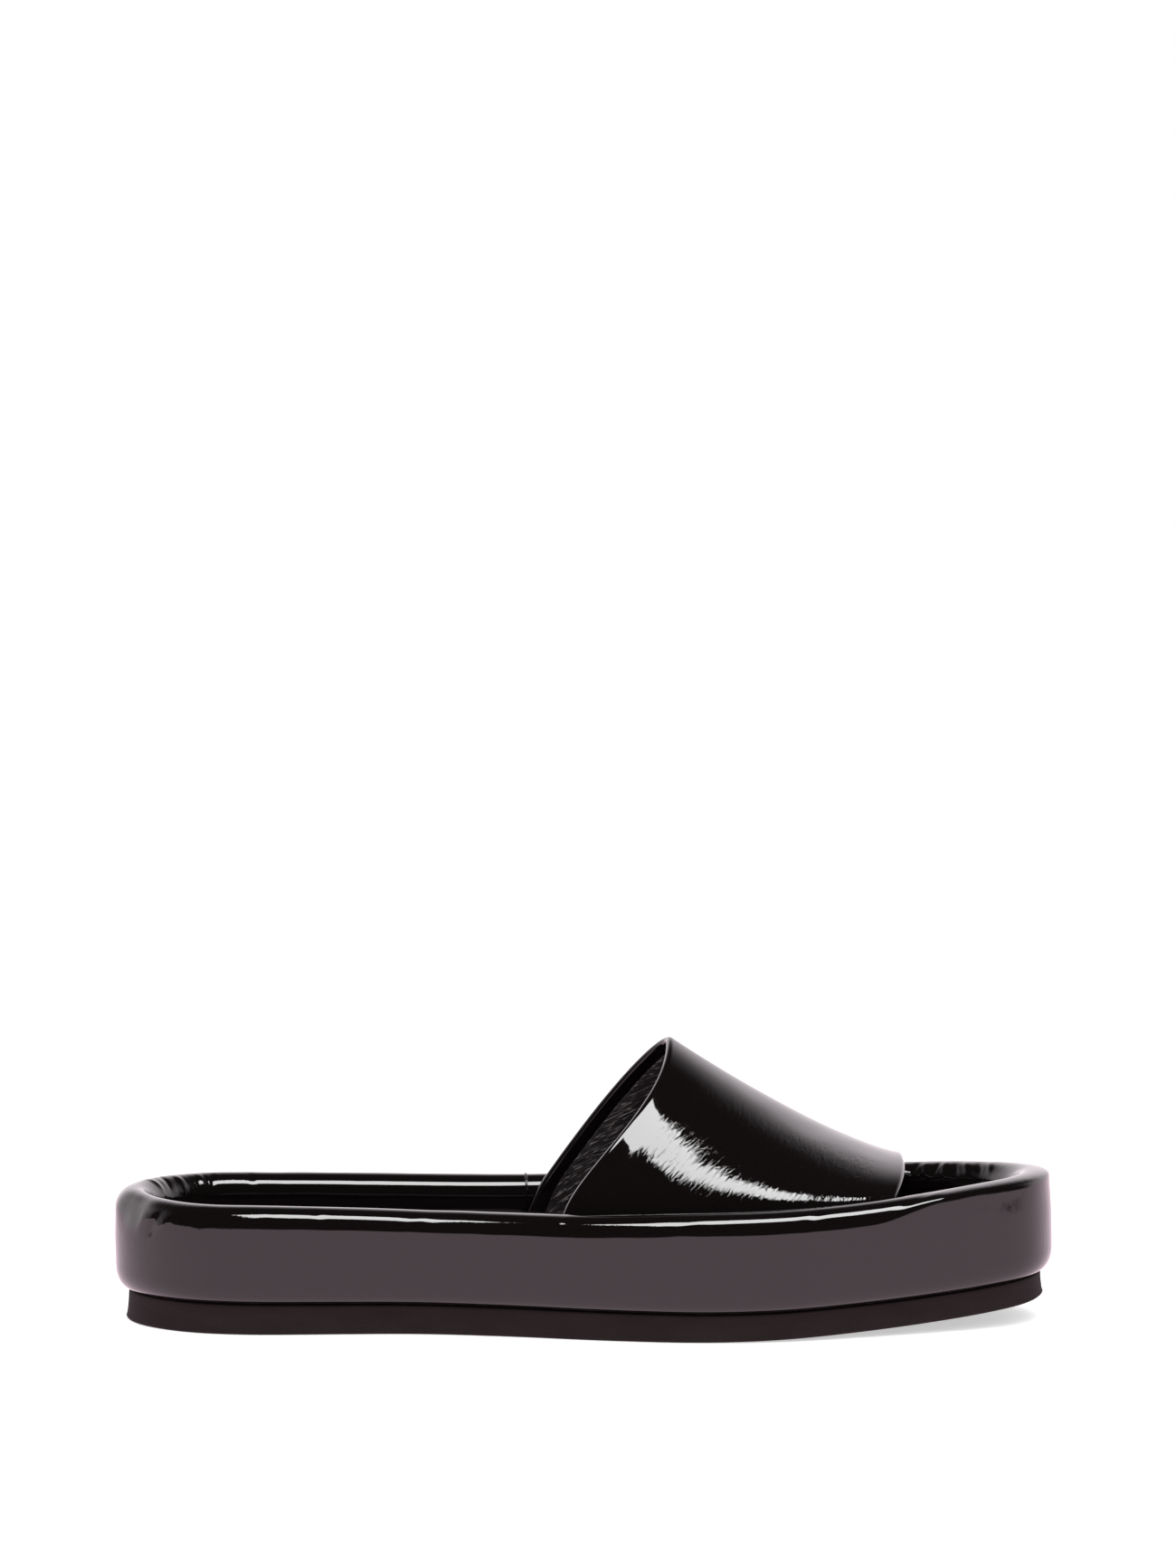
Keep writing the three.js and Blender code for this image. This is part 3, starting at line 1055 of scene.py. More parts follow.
@dataclass(frozen=True)
class Platform:
    """The foam midsole wrapped in patent leather, with its padded rim standing round the insole.

    Attributes:
        form: The sole's form.
        roll: Radius of the rim's roll over its shoulder.
        lower_round: Height of the round at the foot of the outer face.
        side_bulge: How far the outer face bulges.
        section_spacing: Distance between the section's points.
        section_softness: Reach of the smoothing along the section.
        round_steps: Points drawn along a quarter round.
        crest_steps: Points drawn over the crest.
        toe_roll: Height of the roll at the toe, where it is tighter.
        toe_tightening: Shares of the length between which the roll grows tighter.
        seam_place: Share of the length at which the cover's butt seam crosses the rim's inner side.
        seam_reach: Distances down the outer face between which the seam's ridge shows.
        seam_radius: Half of the ridge's width.
        relief_rises: Distances down the outer face between which the relief rises from none, inside the rim.
        relief_falls: Distances between which it falls to none again, at the foot.
        waves: Low unevenness of the padding.
        toe_crinkles: Shares of the length between which the toe's crinkles grow.
        heel_crinkles: Shares of the length between which the heel's crinkles end.
        roll_crinkles: Distances down the outer face between which the roll's crinkles grow.
        roll_crinkles_end: Distances down the outer face between which they end.
        inner_crinkles: Distances down the inner face between which the heel's crinkles grow sharper.
        toe_sharpness: How sharp the toe's crinkles are, from 0 to 1.
        heel_sharpness: The same for the heel's.
        roll_sharpness: The same for the roll's.
        inner_sharpness: What the heel's inner face has more.
        fill: How full the foam fills the cover.
        folds: Creases, listed one by one.
    """

    form: SoleForm
    roll: float = 6.0
    lower_round: float = 6.6
    side_bulge: float = 0.2
    section_spacing: float = 0.62
    section_softness: float = 0.9
    round_steps: int = 40
    crest_steps: int = 90
    toe_roll: float = 2.0
    toe_tightening: tuple[float, float] = (0.8, 0.89)
    seam_place: float = 0.434
    seam_reach: tuple[float, float] = (-12.0, 21.0)
    seam_radius: float = 0.4
    relief_rises: tuple[float, float] = (-14.0, -9.0)
    relief_falls: tuple[float, float] = (22.0, 27.0)
    waves: tuple[Wave, ...] = (Wave(0.1, 17.0, 3.1), Wave(0.03, 7.0, 8.4))
    toe_crinkles: tuple[float, float] = (0.88, 0.96)
    heel_crinkles: tuple[float, float] = (0.06, 0.2)
    roll_crinkles: tuple[float, float] = (1.0, 3.0)
    roll_crinkles_end: tuple[float, float] = (6.0, 9.0)
    inner_crinkles: tuple[float, float] = (1.0, 4.0)
    toe_sharpness: float = 0.4
    heel_sharpness: float = 0.5
    roll_sharpness: float = 0.14
    inner_sharpness: float = 0.4
    fill: float = 0.9
    folds: tuple[Fold, ...] = PLATFORM_FOLDS

    @property
    def shoulder(self) -> float:
        """Height at which the roll begins."""
        return self.form.platform_height - self.roll

    def section(self) -> list[SectionPoint]:
        """The rim's section, from the foot of its outer face over the crest to the tray's floor.

        Returns:
            Points of the section, evenly spaced.
        """
        form = self.form
        shoulder = self.shoulder
        quarter = np.linspace(0, math.pi / 2, self.round_steps)
        lower_rise = self.lower_round * (1 - np.cos(quarter))
        lower = np.column_stack([form.rim_overhang * np.sin(quarter), lower_rise])
        share = np.linspace(0, 1, self.round_steps)[1:]
        bulge = self.side_bulge * np.sin(share * math.pi) ** 2
        face = np.column_stack([form.rim_overhang + bulge, blend(self.lower_round, shoulder, share)])
        half = np.linspace(0, math.pi, self.crest_steps)[1:]
        centre = form.rim_overhang - form.rim_thickness / 2
        over = centre + form.rim_thickness / 2 * np.cos(half)
        crest = np.column_stack([over, shoulder + self.roll * np.sin(half)])
        inner_drop = share * (shoulder - form.platform_base)
        inner = np.column_stack([0 * share - form.inner_face, shoulder - inner_drop])
        line = np.vstack([lower, face, crest, inner])
        along = lengths_along(line)
        count = int(along[-1] / self.section_spacing)
        wanted = np.linspace(0, along[-1], count)
        even = np.column_stack([np.interp(wanted, along, line[:, axis]) for axis in range(2)])
        soft = soften(even, self.section_softness / self.section_spacing, 0, False)
        inwards = np.arange(count) > np.argmax(soft[:, 1])
        inside = inwards * np.clip((shoulder - soft[:, 1]) / (shoulder - form.platform_base), 0, 1)
        return [SectionPoint(*values) for values in np.column_stack([soft, inside])]

    def rise(self, x: Array, point: SectionPoint, outer_half: bool) -> Array | float:
        """Height of a point of the section, with the outer roll drawn tighter towards the toe.

        Args:
            x: Distances from the heel.
            point: Point of the section.
            outer_half: Whether the point lies on the outer half of the rim.

        Returns:
            Heights over the platform's underside, before the crest's own rise and fall.
        """
        full = self.form.platform_height
        if not outer_half:
            return min(point.height, self.shoulder) if point.inside > 0 else point.height
        if point.height <= self.lower_round:
            return point.height
        tightness = smoothstep(x / self.form.length, *self.toe_tightening)
        roll = blend(self.roll, self.toe_roll, tightness)
        if point.height > self.shoulder:
            return full - roll * (full - point.height) / self.roll
        up_face = (point.height - self.lower_round) / (self.shoulder - self.lower_round)
        return self.lower_round + up_face * (full - roll - self.lower_round)

    def ring(self, point: SectionPoint) -> Array:
        """Loop round the sole that a point of the section draws.

        Args:
            point: Point of the section.

        Returns:
            Points of the loop.
        """
        form = self.form
        outer_half = point.out > form.rim_overhang - form.rim_thickness / 2
        raked = point.height / form.platform_height if outer_half else 1.0

        def level(x: Array, y: Array) -> Array:
            """Height of the loop at places round the sole.

            Args:
                x: Distances from the heel.
                y: Distances across.

            Returns:
                The heights.
            """
            share = self.rise(x, point, outer_half) / form.platform_height
            rim = blend(form.outsole_top(x) + form.clearance, form.crest_height(x, y), share)
            return blend(rim, form.tray_floor(x), point.inside)

        return form.loop(lambda x: raked * form.toe_set_back(x) - point.out, level)

    def loops(self) -> tuple[Array, Array]:
        """Loops of the padded rim and the distance of each from the crest, down the outer face.

        Returns:
            Points as (loop, station, 3), and the distances.
        """
        section = self.section()
        line = np.array([(point.out, point.height) for point in section])
        down = lengths_along(line)
        down = down[int(np.argmax(line[:, 1]))] - down
        return np.array([self.ring(point) for point in section]), down

    def relief(self, grid: Array, down: Array) -> Array:
        """Height of the folds and of the padding's soft waves at each point of the grid.

        Args:
            grid: Points as (loop, station, 3).
            down: Distance of each loop from the crest.

        Returns:
            Heights as (loop, station).
        """
        form = self.form
        half = form.stations // 2
        total = np.zeros(grid.shape[:2])
        for fold in self.folds:
            station = form.station(fold.along, fold.side)
            turn = (np.arange(form.stations) - station + half) % form.stations - half
            from_middle = turn * (form.around[-1] / form.stations)
            if fold.side is Side.INNER:
                from_middle = -from_middle
            total += fold.relief(from_middle[None, :], (down - fold.down)[:, None])
        fade = smoothstep(down, *self.relief_rises) * (1 - smoothstep(down, *self.relief_falls))
        return (total + ripple(grid, self.waves)) * fade[:, None]

    def crinkles(self, grid: Array, down: Array) -> Array:
        """How sharply the cover is crinkled: most round the toe and the heel, where it was pulled in.

        Args:
            grid: Points as (loop, station, 3).
            down: Distance of each loop from the crest.

        Returns:
            Sharpness from 0 to about 1, as (loop, station).
        """
        along = grid[..., 0] / self.form.length
        toe = smoothstep(along, *self.toe_crinkles)
        heel = 1 - smoothstep(along, *self.heel_crinkles)
        rolled = smoothstep(down, *self.roll_crinkles) * (1 - smoothstep(down, *self.roll_crinkles_end))
        inside = smoothstep(-down, *self.inner_crinkles)
        ends = self.toe_sharpness * toe + self.heel_sharpness * heel
        return ends + self.roll_sharpness * rolled[:, None] + self.inner_sharpness * inside[:, None] * heel

    def build(self, finish: bpy.types.Material) -> list[Piece]:
        """Makes the platform, and the ridge where its cover is sewn to a ring.

        Args:
            finish: Material of both.

        Returns:
            The two pieces.
        """
        form = self.form
        loops, down = self.loops()
        relief = self.relief(loops, down)
        loops = loops + surface_normals(loops, True) * relief[..., None]
        obj = skin("platform_padding", form.placed(loops), form.around, -down, finish)
        paint(obj, "crinkles", self.crinkles(loops, down))
        shows = (down > self.seam_reach[0]) & (down < self.seam_reach[1])
        seam = form.placed(loops[shows, form.station(self.seam_place, Side.INNER)])
        ridge = Cord(radius=self.seam_radius, spacing=0.4).grow("rim_seam", [seam], finish)
        return [
            Piece(obj, "platform", "patent_leather", fill=self.fill),
            Piece(ridge, None, "patent_leather"),
        ]


@dataclass(frozen=True)
class Insole:
    """The footbed that lies in the tray, notched where the strap's ends pass.

    Attributes:
        form: The sole's form.
        thickness: Thickness of the footbed.
        edge_round: Radius of its upper edge.
        round_steps: Points round that edge.
        flat_margin: Distance from the rounded edge to the flat top's first ring.
        camber: How much higher that ring lies.
        notch_depth: Depth of the notches.
        notch_ease: Length of the slant at each end of a notch.
        notches: Side of the foot, start and end of each notch, as shares of the length.
    """

    form: SoleForm
    thickness: float = 2.5
    edge_round: float = 0.8
    round_steps: int = 6
    flat_margin: float = 2.5
    camber: float = 0.02
    notch_depth: float = 3.5
    notch_ease: float = 2.5
    notches: tuple[tuple[Side, float, float], ...] = (
        (Side.OUTER, 0.458, 0.835),
        (Side.INNER, 0.433, 0.849),
    )

    def notch(self) -> Array:
        """Extra inset at each station where an end of the strap passes.

        Returns:
            The insets.
        """
        form = self.form
        x, y = form.points.T
        total = np.zeros(form.stations)
        for side, rear, front in self.notches:
            here = (y < 0) if side is Side.OUTER else (y >= 0)
            start = smoothstep(x, rear * form.length - self.notch_ease, rear * form.length)
            end = smoothstep(x, front * form.length, front * form.length + self.notch_ease)
            total += here * start * (1 - end) * self.notch_depth
        return total

    def build(self, finish: bpy.types.Material) -> Piece:
        """Makes the insole.

        Args:
            finish: Its material.

        Returns:
            The piece.
        """
        form = self.form
        beside = form.inner_face + form.clearance
        notch = self.notch()
        rings = [(0.0, 0.0), (0.0, self.thickness - self.edge_round)]
        for turn in np.linspace(0, math.pi / 2, self.round_steps)[1:]:
            rise = self.thickness - self.edge_round * (1 - math.sin(turn))
            rings.append((self.edge_round * (1 - math.cos(turn)), rise))
        rings.append((self.edge_round + self.flat_margin, self.thickness + self.camber))
        loops = np.array(
            [
                form.loop(
                    lambda x, inset=inset: beside + form.toe_set_back(x) + inset + notch,
                    lambda x, y, rise=rise: form.tray_floor(x) + form.clearance + rise,
                )
                for inset, rise in rings
            ]
        )
        loops = form.placed(loops)
        obj = skin("insole_leather", loops, form.around, lengths_along(loops[:, 0]), finish)
        paint(obj, "crinkles", np.zeros(loops.shape[:2]))
        return Piece(obj, "insole", "footbed_leather")


class Edge(NamedTuple):
    """Where the strap's rear and front edges cross a line, as shares of the sole's length."""

    rear: float
    front: float


@dataclass(frozen=True)
class Strap:
    """The broad band over the foot: patent leather outside, turned in at its edges, and a lining inside.

    Attributes:
        form: The sole's form.
        thickness: Thickness of the whole band.
        shell: Depth of the lining under the outer face.
        turned_less: How much thinner the turned-in edge is than the band with its lining.
        rear_rise: Height of the crown over the rim at the rear edge.
        front_rise: The same at the front edge.
        fall: Power of the crown's fall from the rear edge to the front edge.
        springing: Depth under the rim's crest at which the arch begins.
        edge_bow: How far the band's edges are rounded out.
        turned_band: Width of the turned-in edge.
        turned_step: Half the width of the step at its inner end.
        crown_place: Place of the crown on the way from the outer rim to the inner one.
        outer_arch: Fullness of the arch's outer side.
        inner_arch: Fullness of its inner side.
        outer_foot: Place of the outer end on the tray's floor.
        outer_rim: Place where the outer side passes the rim.
        crown: Place of the crown.
        inner_rim: Place where the inner side passes the rim.
        inner_foot: Place of the inner end on the tray's floor.
        outer_lean: How the edges leave the outer rim and reach the crown.
        inner_lean: The same on the inner side.
        rows: Points over the foot.
        columns: Points from the rear edge to the front edge.
        end_steps: Points drawn down each tucked end.
        arch_steps: Points drawn up each side of the arch.
        corner_steps: Points round each of the band's edges.
        softness: Reach of the smoothing over the foot, in mm.
        tucked: Distances from the crown between which the relief fades out.
        inner_relief: Share of the relief that the band's inner face follows.
        flank_crinkles: Distances from the crown between which the crinkles grow.
        edge_crinkles: Distances from the rear and front edges between which they grow.
        lining_gap: Air between the band and its lining.
        lining_bow: How far the lining's edges are rounded out.
        lining_corner_steps: Points round each of them.
        lining_ends: Rows by which the lining's ends stay short.
        welt_radius: Half of the width of the lining's welts.
        welt_depth: Depth of their middle under the band's inner face.
        waves: Low unevenness of the band.
        folds: Creases, listed one by one.
        belly: The soft ridge along the outer flank.
    """

    form: SoleForm
    thickness: float = 3.0
    shell: float = 2.3
    turned_less: float = 0.35
    rear_rise: float = 43.0
    front_rise: float = 6.2
    fall: float = 1.22
    springing: float = 2.0
    edge_bow: float = 1.2
    turned_band: float = 3.4
    turned_step: float = 0.6
    crown_place: Edge = Edge(0.73, 0.61)
    outer_arch: Edge = Edge(1.48, 1.75)
    inner_arch: Edge = Edge(2.4, 2.2)
    outer_foot: Edge = Edge(0.462, 0.831)
    outer_rim: Edge = Edge(0.479, 0.831)
    crown: Edge = Edge(0.596, 0.845)
    inner_rim: Edge = Edge(0.454, 0.845)
    inner_foot: Edge = Edge(0.437, 0.845)
    outer_lean: tuple[float, float] = (1.5, 1.8)
    inner_lean: tuple[float, float] = (1.0, 0.82)
    rows: int = 300
    columns: int = 130
    end_steps: int = 40
    arch_steps: int = 500
    corner_steps: int = 7
    softness: float = 2.0
    tucked: tuple[float, float] = (48.0, 60.0)
    inner_relief: float = 0.5
    flank_crinkles: tuple[float, float] = (4.0, 16.0)
    edge_crinkles: tuple[float, float] = (4.0, 12.0)
    lining_gap: float = 0.05
    lining_bow: float = 0.3
    lining_corner_steps: int = 3
    lining_ends: int = 3
    welt_radius: float = 0.42
    welt_depth: float = 0.12
    waves: tuple[Wave, ...] = (Wave(0.1, 19.0, 5.7), Wave(0.03, 8.0, 1.9))
    folds: tuple[Fold, ...] = STRAP_FOLDS
    belly: Swell = BELLY

    def half(self, side: Side, along: Array) -> Array:
        """One half of the strap's outer face, from its end on the tray's floor up to the crown.

        Args:
            side: Side of the foot.
            along: Shares of the way from the rear edge to the front edge.

        Returns:
            Points as (step, along, 3).
        """
        form = self.form
        outer = side is Side.OUTER
        lines = (self.outer_foot, self.outer_rim) if outer else (self.inner_foot, self.inner_rim)
        foot, rim, crown = (
            form.length * blend(line.rear, line.front, along) for line in (*lines, self.crown)
        )
        springing = form.crest_height(rim, form.beside_rim(rim, side)) - self.springing
        rise = blend(self.front_rise, self.rear_rise, np.maximum(0, 1 - along) ** self.fall)
        top = form.platform_foot + form.platform_height + form.toe_lift(crown) + rise
        down = np.linspace(1, 0, self.end_steps)[:-1, None]
        end_x = blend(rim, foot, down)
        end_z = blend(springing, form.tray_floor(foot) + form.clearance, down)
        end = np.stack([end_x, form.beside_rim(end_x, side), end_z], axis=-1)
        angle = np.linspace(math.pi / 2, 0, self.arch_steps)[:, None]
        arch = self.outer_arch if outer else self.inner_arch
        power = 2 / blend(arch.rear, arch.front, along)
        upwards = np.cos(angle).clip(0) ** power
        sideways = np.sin(angle) ** power
        leaving, arriving = self.outer_lean if outer else self.inner_lean
        x = blend(rim, crown, 1 - (1 - upwards**leaving) ** arriving)
        edges = [form.beside_rim(x, one) for one in Side]
        crown_y = blend(edges[0], edges[1], blend(self.crown_place.rear, self.crown_place.front, along))
        own = edges[0] if outer else edges[1]
        y = blend(crown_y, own, sideways)
        z = blend(springing, top, upwards)
        return np.concatenate([end, np.stack([x, y, z], axis=-1)])

    def face(self) -> Array:
        """The strap's outer face as (across, along, 3), from its outer end over the foot to its inner end.

        Returns:
            Points of the face, evenly spaced over the foot.
        """
        along = np.linspace(0, 1, self.columns)
        outer, inner = (self.half(side, along) for side in Side)
        whole = np.concatenate([outer, inner[::-1][1:]])
        lines = [evenly_spaced(whole[:, column], self.rows) for column in range(self.columns)]
        even = np.stack(lines, axis=1)
        spacing = lengths_along(even[:, 0])[-1] / self.rows
        even = soften(even, self.softness / spacing, 0, False)
        return soften(even, 1.0, 1, False)

    def relief(self, face: Array, across: Array, along: Array) -> Array:
        """Height of the creases and waves at each point of the outer face.

        Args:
            face: Points of the face.
            across: Distances from the middle of the arch.
            along: Distances from the rear edge.

        Returns:
            The heights, none where the ends are tucked in.
        """
        total = self.belly.relief(along, across)
        for fold in self.folds:
            towards_side = across if fold.side is Side.OUTER else -across
            total = total + fold.relief(along - fold.along, towards_side - fold.down)
        free = 1 - smoothstep(np.abs(across), *self.tucked)
        return (total + ripple(face, self.waves)) * free

    def tube(self, outer: Array, inner: Array, bow: float, corner_steps: int) -> Array:
        """Loops round a band with rounded edges, for the skin of a closed body.

        Args:
            outer: Points of the outer face, as (across, along, 3).
            inner: Points of the inner face, the same way.
            bow: How far the edges are rounded out.
            corner_steps: Points round each edge.

        Returns:
            Points as (loop, station, 3).
        """
        turn = np.linspace(-math.pi / 2, math.pi / 2, corner_steps + 2)[1:-1]
        loops = []
        for top, bottom in zip(outer, inner):
            corners = []
            for edge, neighbour in ((0, 1), (-1, -2)):
                away = top[edge] - top[neighbour]
                away /= np.linalg.norm(away)
                middle = (top[edge] + bottom[edge]) / 2
                across = (top[edge] - bottom[edge]) / 2
                signs = turn if edge == 0 else -turn
                corners.append([middle + across * math.sin(a) + away * bow * math.cos(a) for a in signs])
            loops.append(np.vstack([corners[0], top, corners[1], bottom[::-1]]))
        return np.array(loops)

    def wrapped(self, name: str, loops: Array, across: Array, finish: bpy.types.Material) -> bpy.types.Object:
        """A closed body from loops round a band, with the distance round it measured near the crown.

        Args:
            name: Name of the piece.
            loops: Points as (loop, station, 3).
            across: Distance of each loop from the middle of the arch.
            finish: Its material.

        Returns:
            The object.
        """
        middle = loops[self.rows // 2]
        around = lengths_along(np.vstack([middle, middle[:1]]))
        return skin(name, self.form.placed(loops), around, across, finish)

    def band(self, face: Array, across: Array, along: Array, finish: bpy.types.Material) -> Piece:
        """The patent band, thicker along its edges, where the leather is turned in.

        Args:
            face: Points of the outer face.
            across: Distance of each row from the middle of the arch.
            along: Distances from the rear edge.
            finish: Its material.

        Returns:
            The piece.
        """
        normals = surface_normals(face, False)
        relief = self.relief(face, across[:, None], along)
        from_edge = np.minimum(along, along[:, -1:] - along)
        step = (self.turned_band - self.turned_step, self.turned_band + self.turned_step)
        depth = blend(self.thickness - self.turned_less, self.shell, smoothstep(from_edge, *step))
        outer = face + normals * relief[..., None]
        inner = face - normals * (depth - self.inner_relief * relief)[..., None]
        loops = self.tube(outer, inner, self.edge_bow, self.corner_steps)
        obj = self.wrapped("strap_patent", loops, across, finish)
        flank = smoothstep(np.abs(across), *self.flank_crinkles)[:, None]
        outer_part = slice(self.corner_steps, self.corner_steps + self.columns)
        crinkles = np.zeros(loops.shape[:2])
        crinkles[:, outer_part] = flank * smoothstep(from_edge, *self.edge_crinkles)
        paint(obj, "crinkles", crinkles)
        return Piece(obj, "strap", "patent_leather")

    def lined(
        self, face: Array, across: Array, along: Array, lining: bpy.types.Material, patent: bpy.types.Material
    ) -> list[Piece]:
        """The lining between the turned-in edges, with a welt along each of its own edges.

        Args:
            face: Points of the band's outer face.
            across: Distance of each row from the middle of the arch.
            along: Distances from the rear edge.
            lining: Material of the lining.
            patent: Material of the welts.

        Returns:
            The lining and the welts.
        """
        normals = surface_normals(face, False)
        crown = along[self.rows // 2]
        seams = (self.turned_band, crown[-1] - self.turned_band)
        first, last = (int(np.argmin(np.abs(crown - seam))) for seam in seams)
        ends = slice(self.lining_ends, -self.lining_ends)
        top = (face - normals * (self.shell + self.lining_gap))[ends, first:last]
        bottom = (face - normals * self.thickness)[ends, first:last]
        sheet = self.tube(top, bottom, self.lining_bow, self.lining_corner_steps)
        obj = self.wrapped("strap_lining", sheet, across[ends], lining)
        paint(obj, "crinkles", np.ones(sheet.shape[:2]))
        sunk = face - normals * (self.shell + self.welt_depth)
        short = slice(2 * self.lining_ends, -2 * self.lining_ends)
        edges = [self.form.placed(sunk[short, column]) for column in (first, last - 1)]
        welt = Cord(radius=self.welt_radius).grow("lining_welt", edges, patent)
        return [Piece(obj, None, "footbed_leather"), Piece(welt, None, "patent_leather")]

    def build(self, patent: bpy.types.Material, lining: bpy.types.Material) -> list[Piece]:
        """Makes the patent band, its lining and the lining's welts.

        Args:
            patent: Material of the band and the welts.
            lining: Material of the lining.

        Returns:
            The three pieces.
        """
        face = self.face()
        across = lengths_along(face[:, self.columns // 2])
        across -= across[self.rows // 2]
        along = lengths_along(face, axis=1)
        return [self.band(face, across, along, patent), *self.lined(face, across, along, lining, patent)]


# Cords and seams, grown along lines with Geometry Nodes


@dataclass(frozen=True)
class Cord:
    """A thin rounded strip of leather that follows a line, as a welt or the ridge of a seam does.

    Attributes:
        radius: Half of its width, in mm.
        spacing: Distance between its rings, in mm.
        sides: Faces round it.
        swell: How much its width varies along it, as a share.
        seed: Seed of that variation.
    """

    radius: float
    spacing: float = 0.7
    sides: int = 10
    swell: float = 0.12
    seed: int = 4

    def tree(self) -> bpy.types.NodeTree:
        """The tree that turns a line of edges into a cord.

        Returns:
            The node tree.
        """
        tree = bpy.data.node_groups.new("cord_along_line", "GeometryNodeTree")
        tree.interface.new_socket("Line", in_out="INPUT", socket_type="NodeSocketGeometry")
        for name, kind in (
            ("Radius", "NodeSocketFloat"),
            ("Spacing", "NodeSocketFloat"),
            ("Sides", "NodeSocketInt"),
            ("Swell", "NodeSocketFloat"),
            ("Seed", "NodeSocketInt"),
            ("Finish", "NodeSocketMaterial"),
        ):
            tree.interface.new_socket(name, in_out="INPUT", socket_type=kind)
        tree.interface.new_socket("Cord", in_out="OUTPUT", socket_type="NodeSocketGeometry")
        given = add(tree, "NodeGroupInput").outputs
        line = add(tree, "GeometryNodeMeshToCurve", {"Mesh": given["Line"]}).outputs["Curve"]
        inputs = {"Curve": line, "Length": given["Spacing"]}
        even = add(tree, "GeometryNodeResampleCurve", inputs, mode="LENGTH").outputs["Curve"]
        least = add(tree, "ShaderNodeMath", {0: 1.0, 1: given["Swell"]}, operation="SUBTRACT").outputs[0]
        most = add(tree, "ShaderNodeMath", {0: 1.0, 1: given["Swell"]}, operation="ADD").outputs[0]
        inputs = {2: least, 3: most, "Seed": given["Seed"]}
        width = add(tree, "FunctionNodeRandomValue", inputs, data_type="FLOAT").outputs[1]
        inputs = {"Resolution": given["Sides"], "Radius": given["Radius"]}
        ring = add(tree, "GeometryNodeCurvePrimitiveCircle", inputs).outputs["Curve"]
        inputs = {"Curve": even, "Profile Curve": ring, "Scale": width, "Fill Caps": True}
        swept = add(tree, "GeometryNodeCurveToMesh", inputs)
        whole = add(tree, "GeometryNodeRealizeInstances", {"Geometry": swept.outputs["Mesh"]})
        inputs = {"Geometry": whole.outputs["Geometry"], "Material": given["Finish"]}
        finished = add(tree, "GeometryNodeSetMaterial", inputs)
        add(tree, "NodeGroupOutput", {"Cord": finished.outputs["Geometry"]})
        return tree

    def grow(self, name: str, lines: list[Array], finish: bpy.types.Material) -> bpy.types.Object:
        """Grows one cord along each line.

        Args:
            name: Name of the piece.
            lines: Lines of points, in millimetres.
            finish: Its material.

        Returns:
            The cords as one plain mesh.
        """
        starts = np.cumsum([0] + [len(line) for line in lines])
        steps = [start + step for start, line in zip(starts, lines) for step in range(len(line) - 1)]
        edges = [(step, step + 1) for step in steps]
        mesh = bpy.data.meshes.new(name + "_line")
        mesh.from_pydata((np.vstack(lines) * MM).tolist(), edges, [])
        guide = new_object(name + "_line", mesh)
        growth = guide.modifiers.new("growth", "NODES")
        growth.node_group = self.tree()
        values = {
            "Radius": self.radius * MM,
            "Spacing": self.spacing * MM,
            "Sides": self.sides,
            "Swell": self.swell,
            "Seed": self.seed,
            "Finish": finish,
        }
        for socket in growth.node_group.interface.items_tree:
            if socket.in_out == "INPUT" and socket.name in values:
                growth[socket.identifier] = values[socket.name]
        depsgraph = bpy.context.evaluated_depsgraph_get()
        grown = bpy.data.meshes.new_from_object(guide.evaluated_get(depsgraph))
        guide.modifiers.clear()
        bpy.data.objects.remove(guide)
        grown.polygons.foreach_set("use_smooth", np.ones(len(grown.polygons), dtype=bool))
        return new_object(name, grown)


# Studio


@dataclass(frozen=True)
class Softbox:
    """A light with a flat bright face that points at the sandal.

    Attributes:
        name: Name of the light.
        place: Its middle, in metres.
        size: Width and height of its face, in metres.
        radiance: Brightness of its face.
        seen_in_gloss: True for a light that shows in the gloss, False for one that only lights the floor.
        target: What it points at, in metres.
    """

    name: str
    place: tuple[float, float, float]
    size: tuple[float, float]
    radiance: float
    seen_in_gloss: bool
    target: tuple[float, float, float] = (0.0, 0.0, 0.04)

    def hang(self) -> None:
        """Adds the light to the scene."""
        width, height = self.size
        data = bpy.data.lights.new(self.name, "AREA")
        data.shape = "RECTANGLE"
        data.size = width
        data.size_y = height
        data.energy = self.radiance * math.pi * width * height
        obj = new_object(self.name, data)
        obj.location = self.place
        ray = Vector(self.target) - Vector(self.place)
        obj.rotation_euler = ray.to_track_quat("-Z", "Y").to_euler()
        obj.visible_camera = False
        obj.visible_glossy = self.seen_in_gloss
        obj.visible_diffuse = not self.seen_in_gloss


SOFTBOXES = (
    Softbox("overhead_softbox", (0.13, -0.39, 1.13), (1.0, 0.42), radiance=16.0, seen_in_gloss=True),
    Softbox("floor_light", (0.0, -0.3, 2.2), (2.4, 2.4), radiance=1.1, seen_in_gloss=False),
)


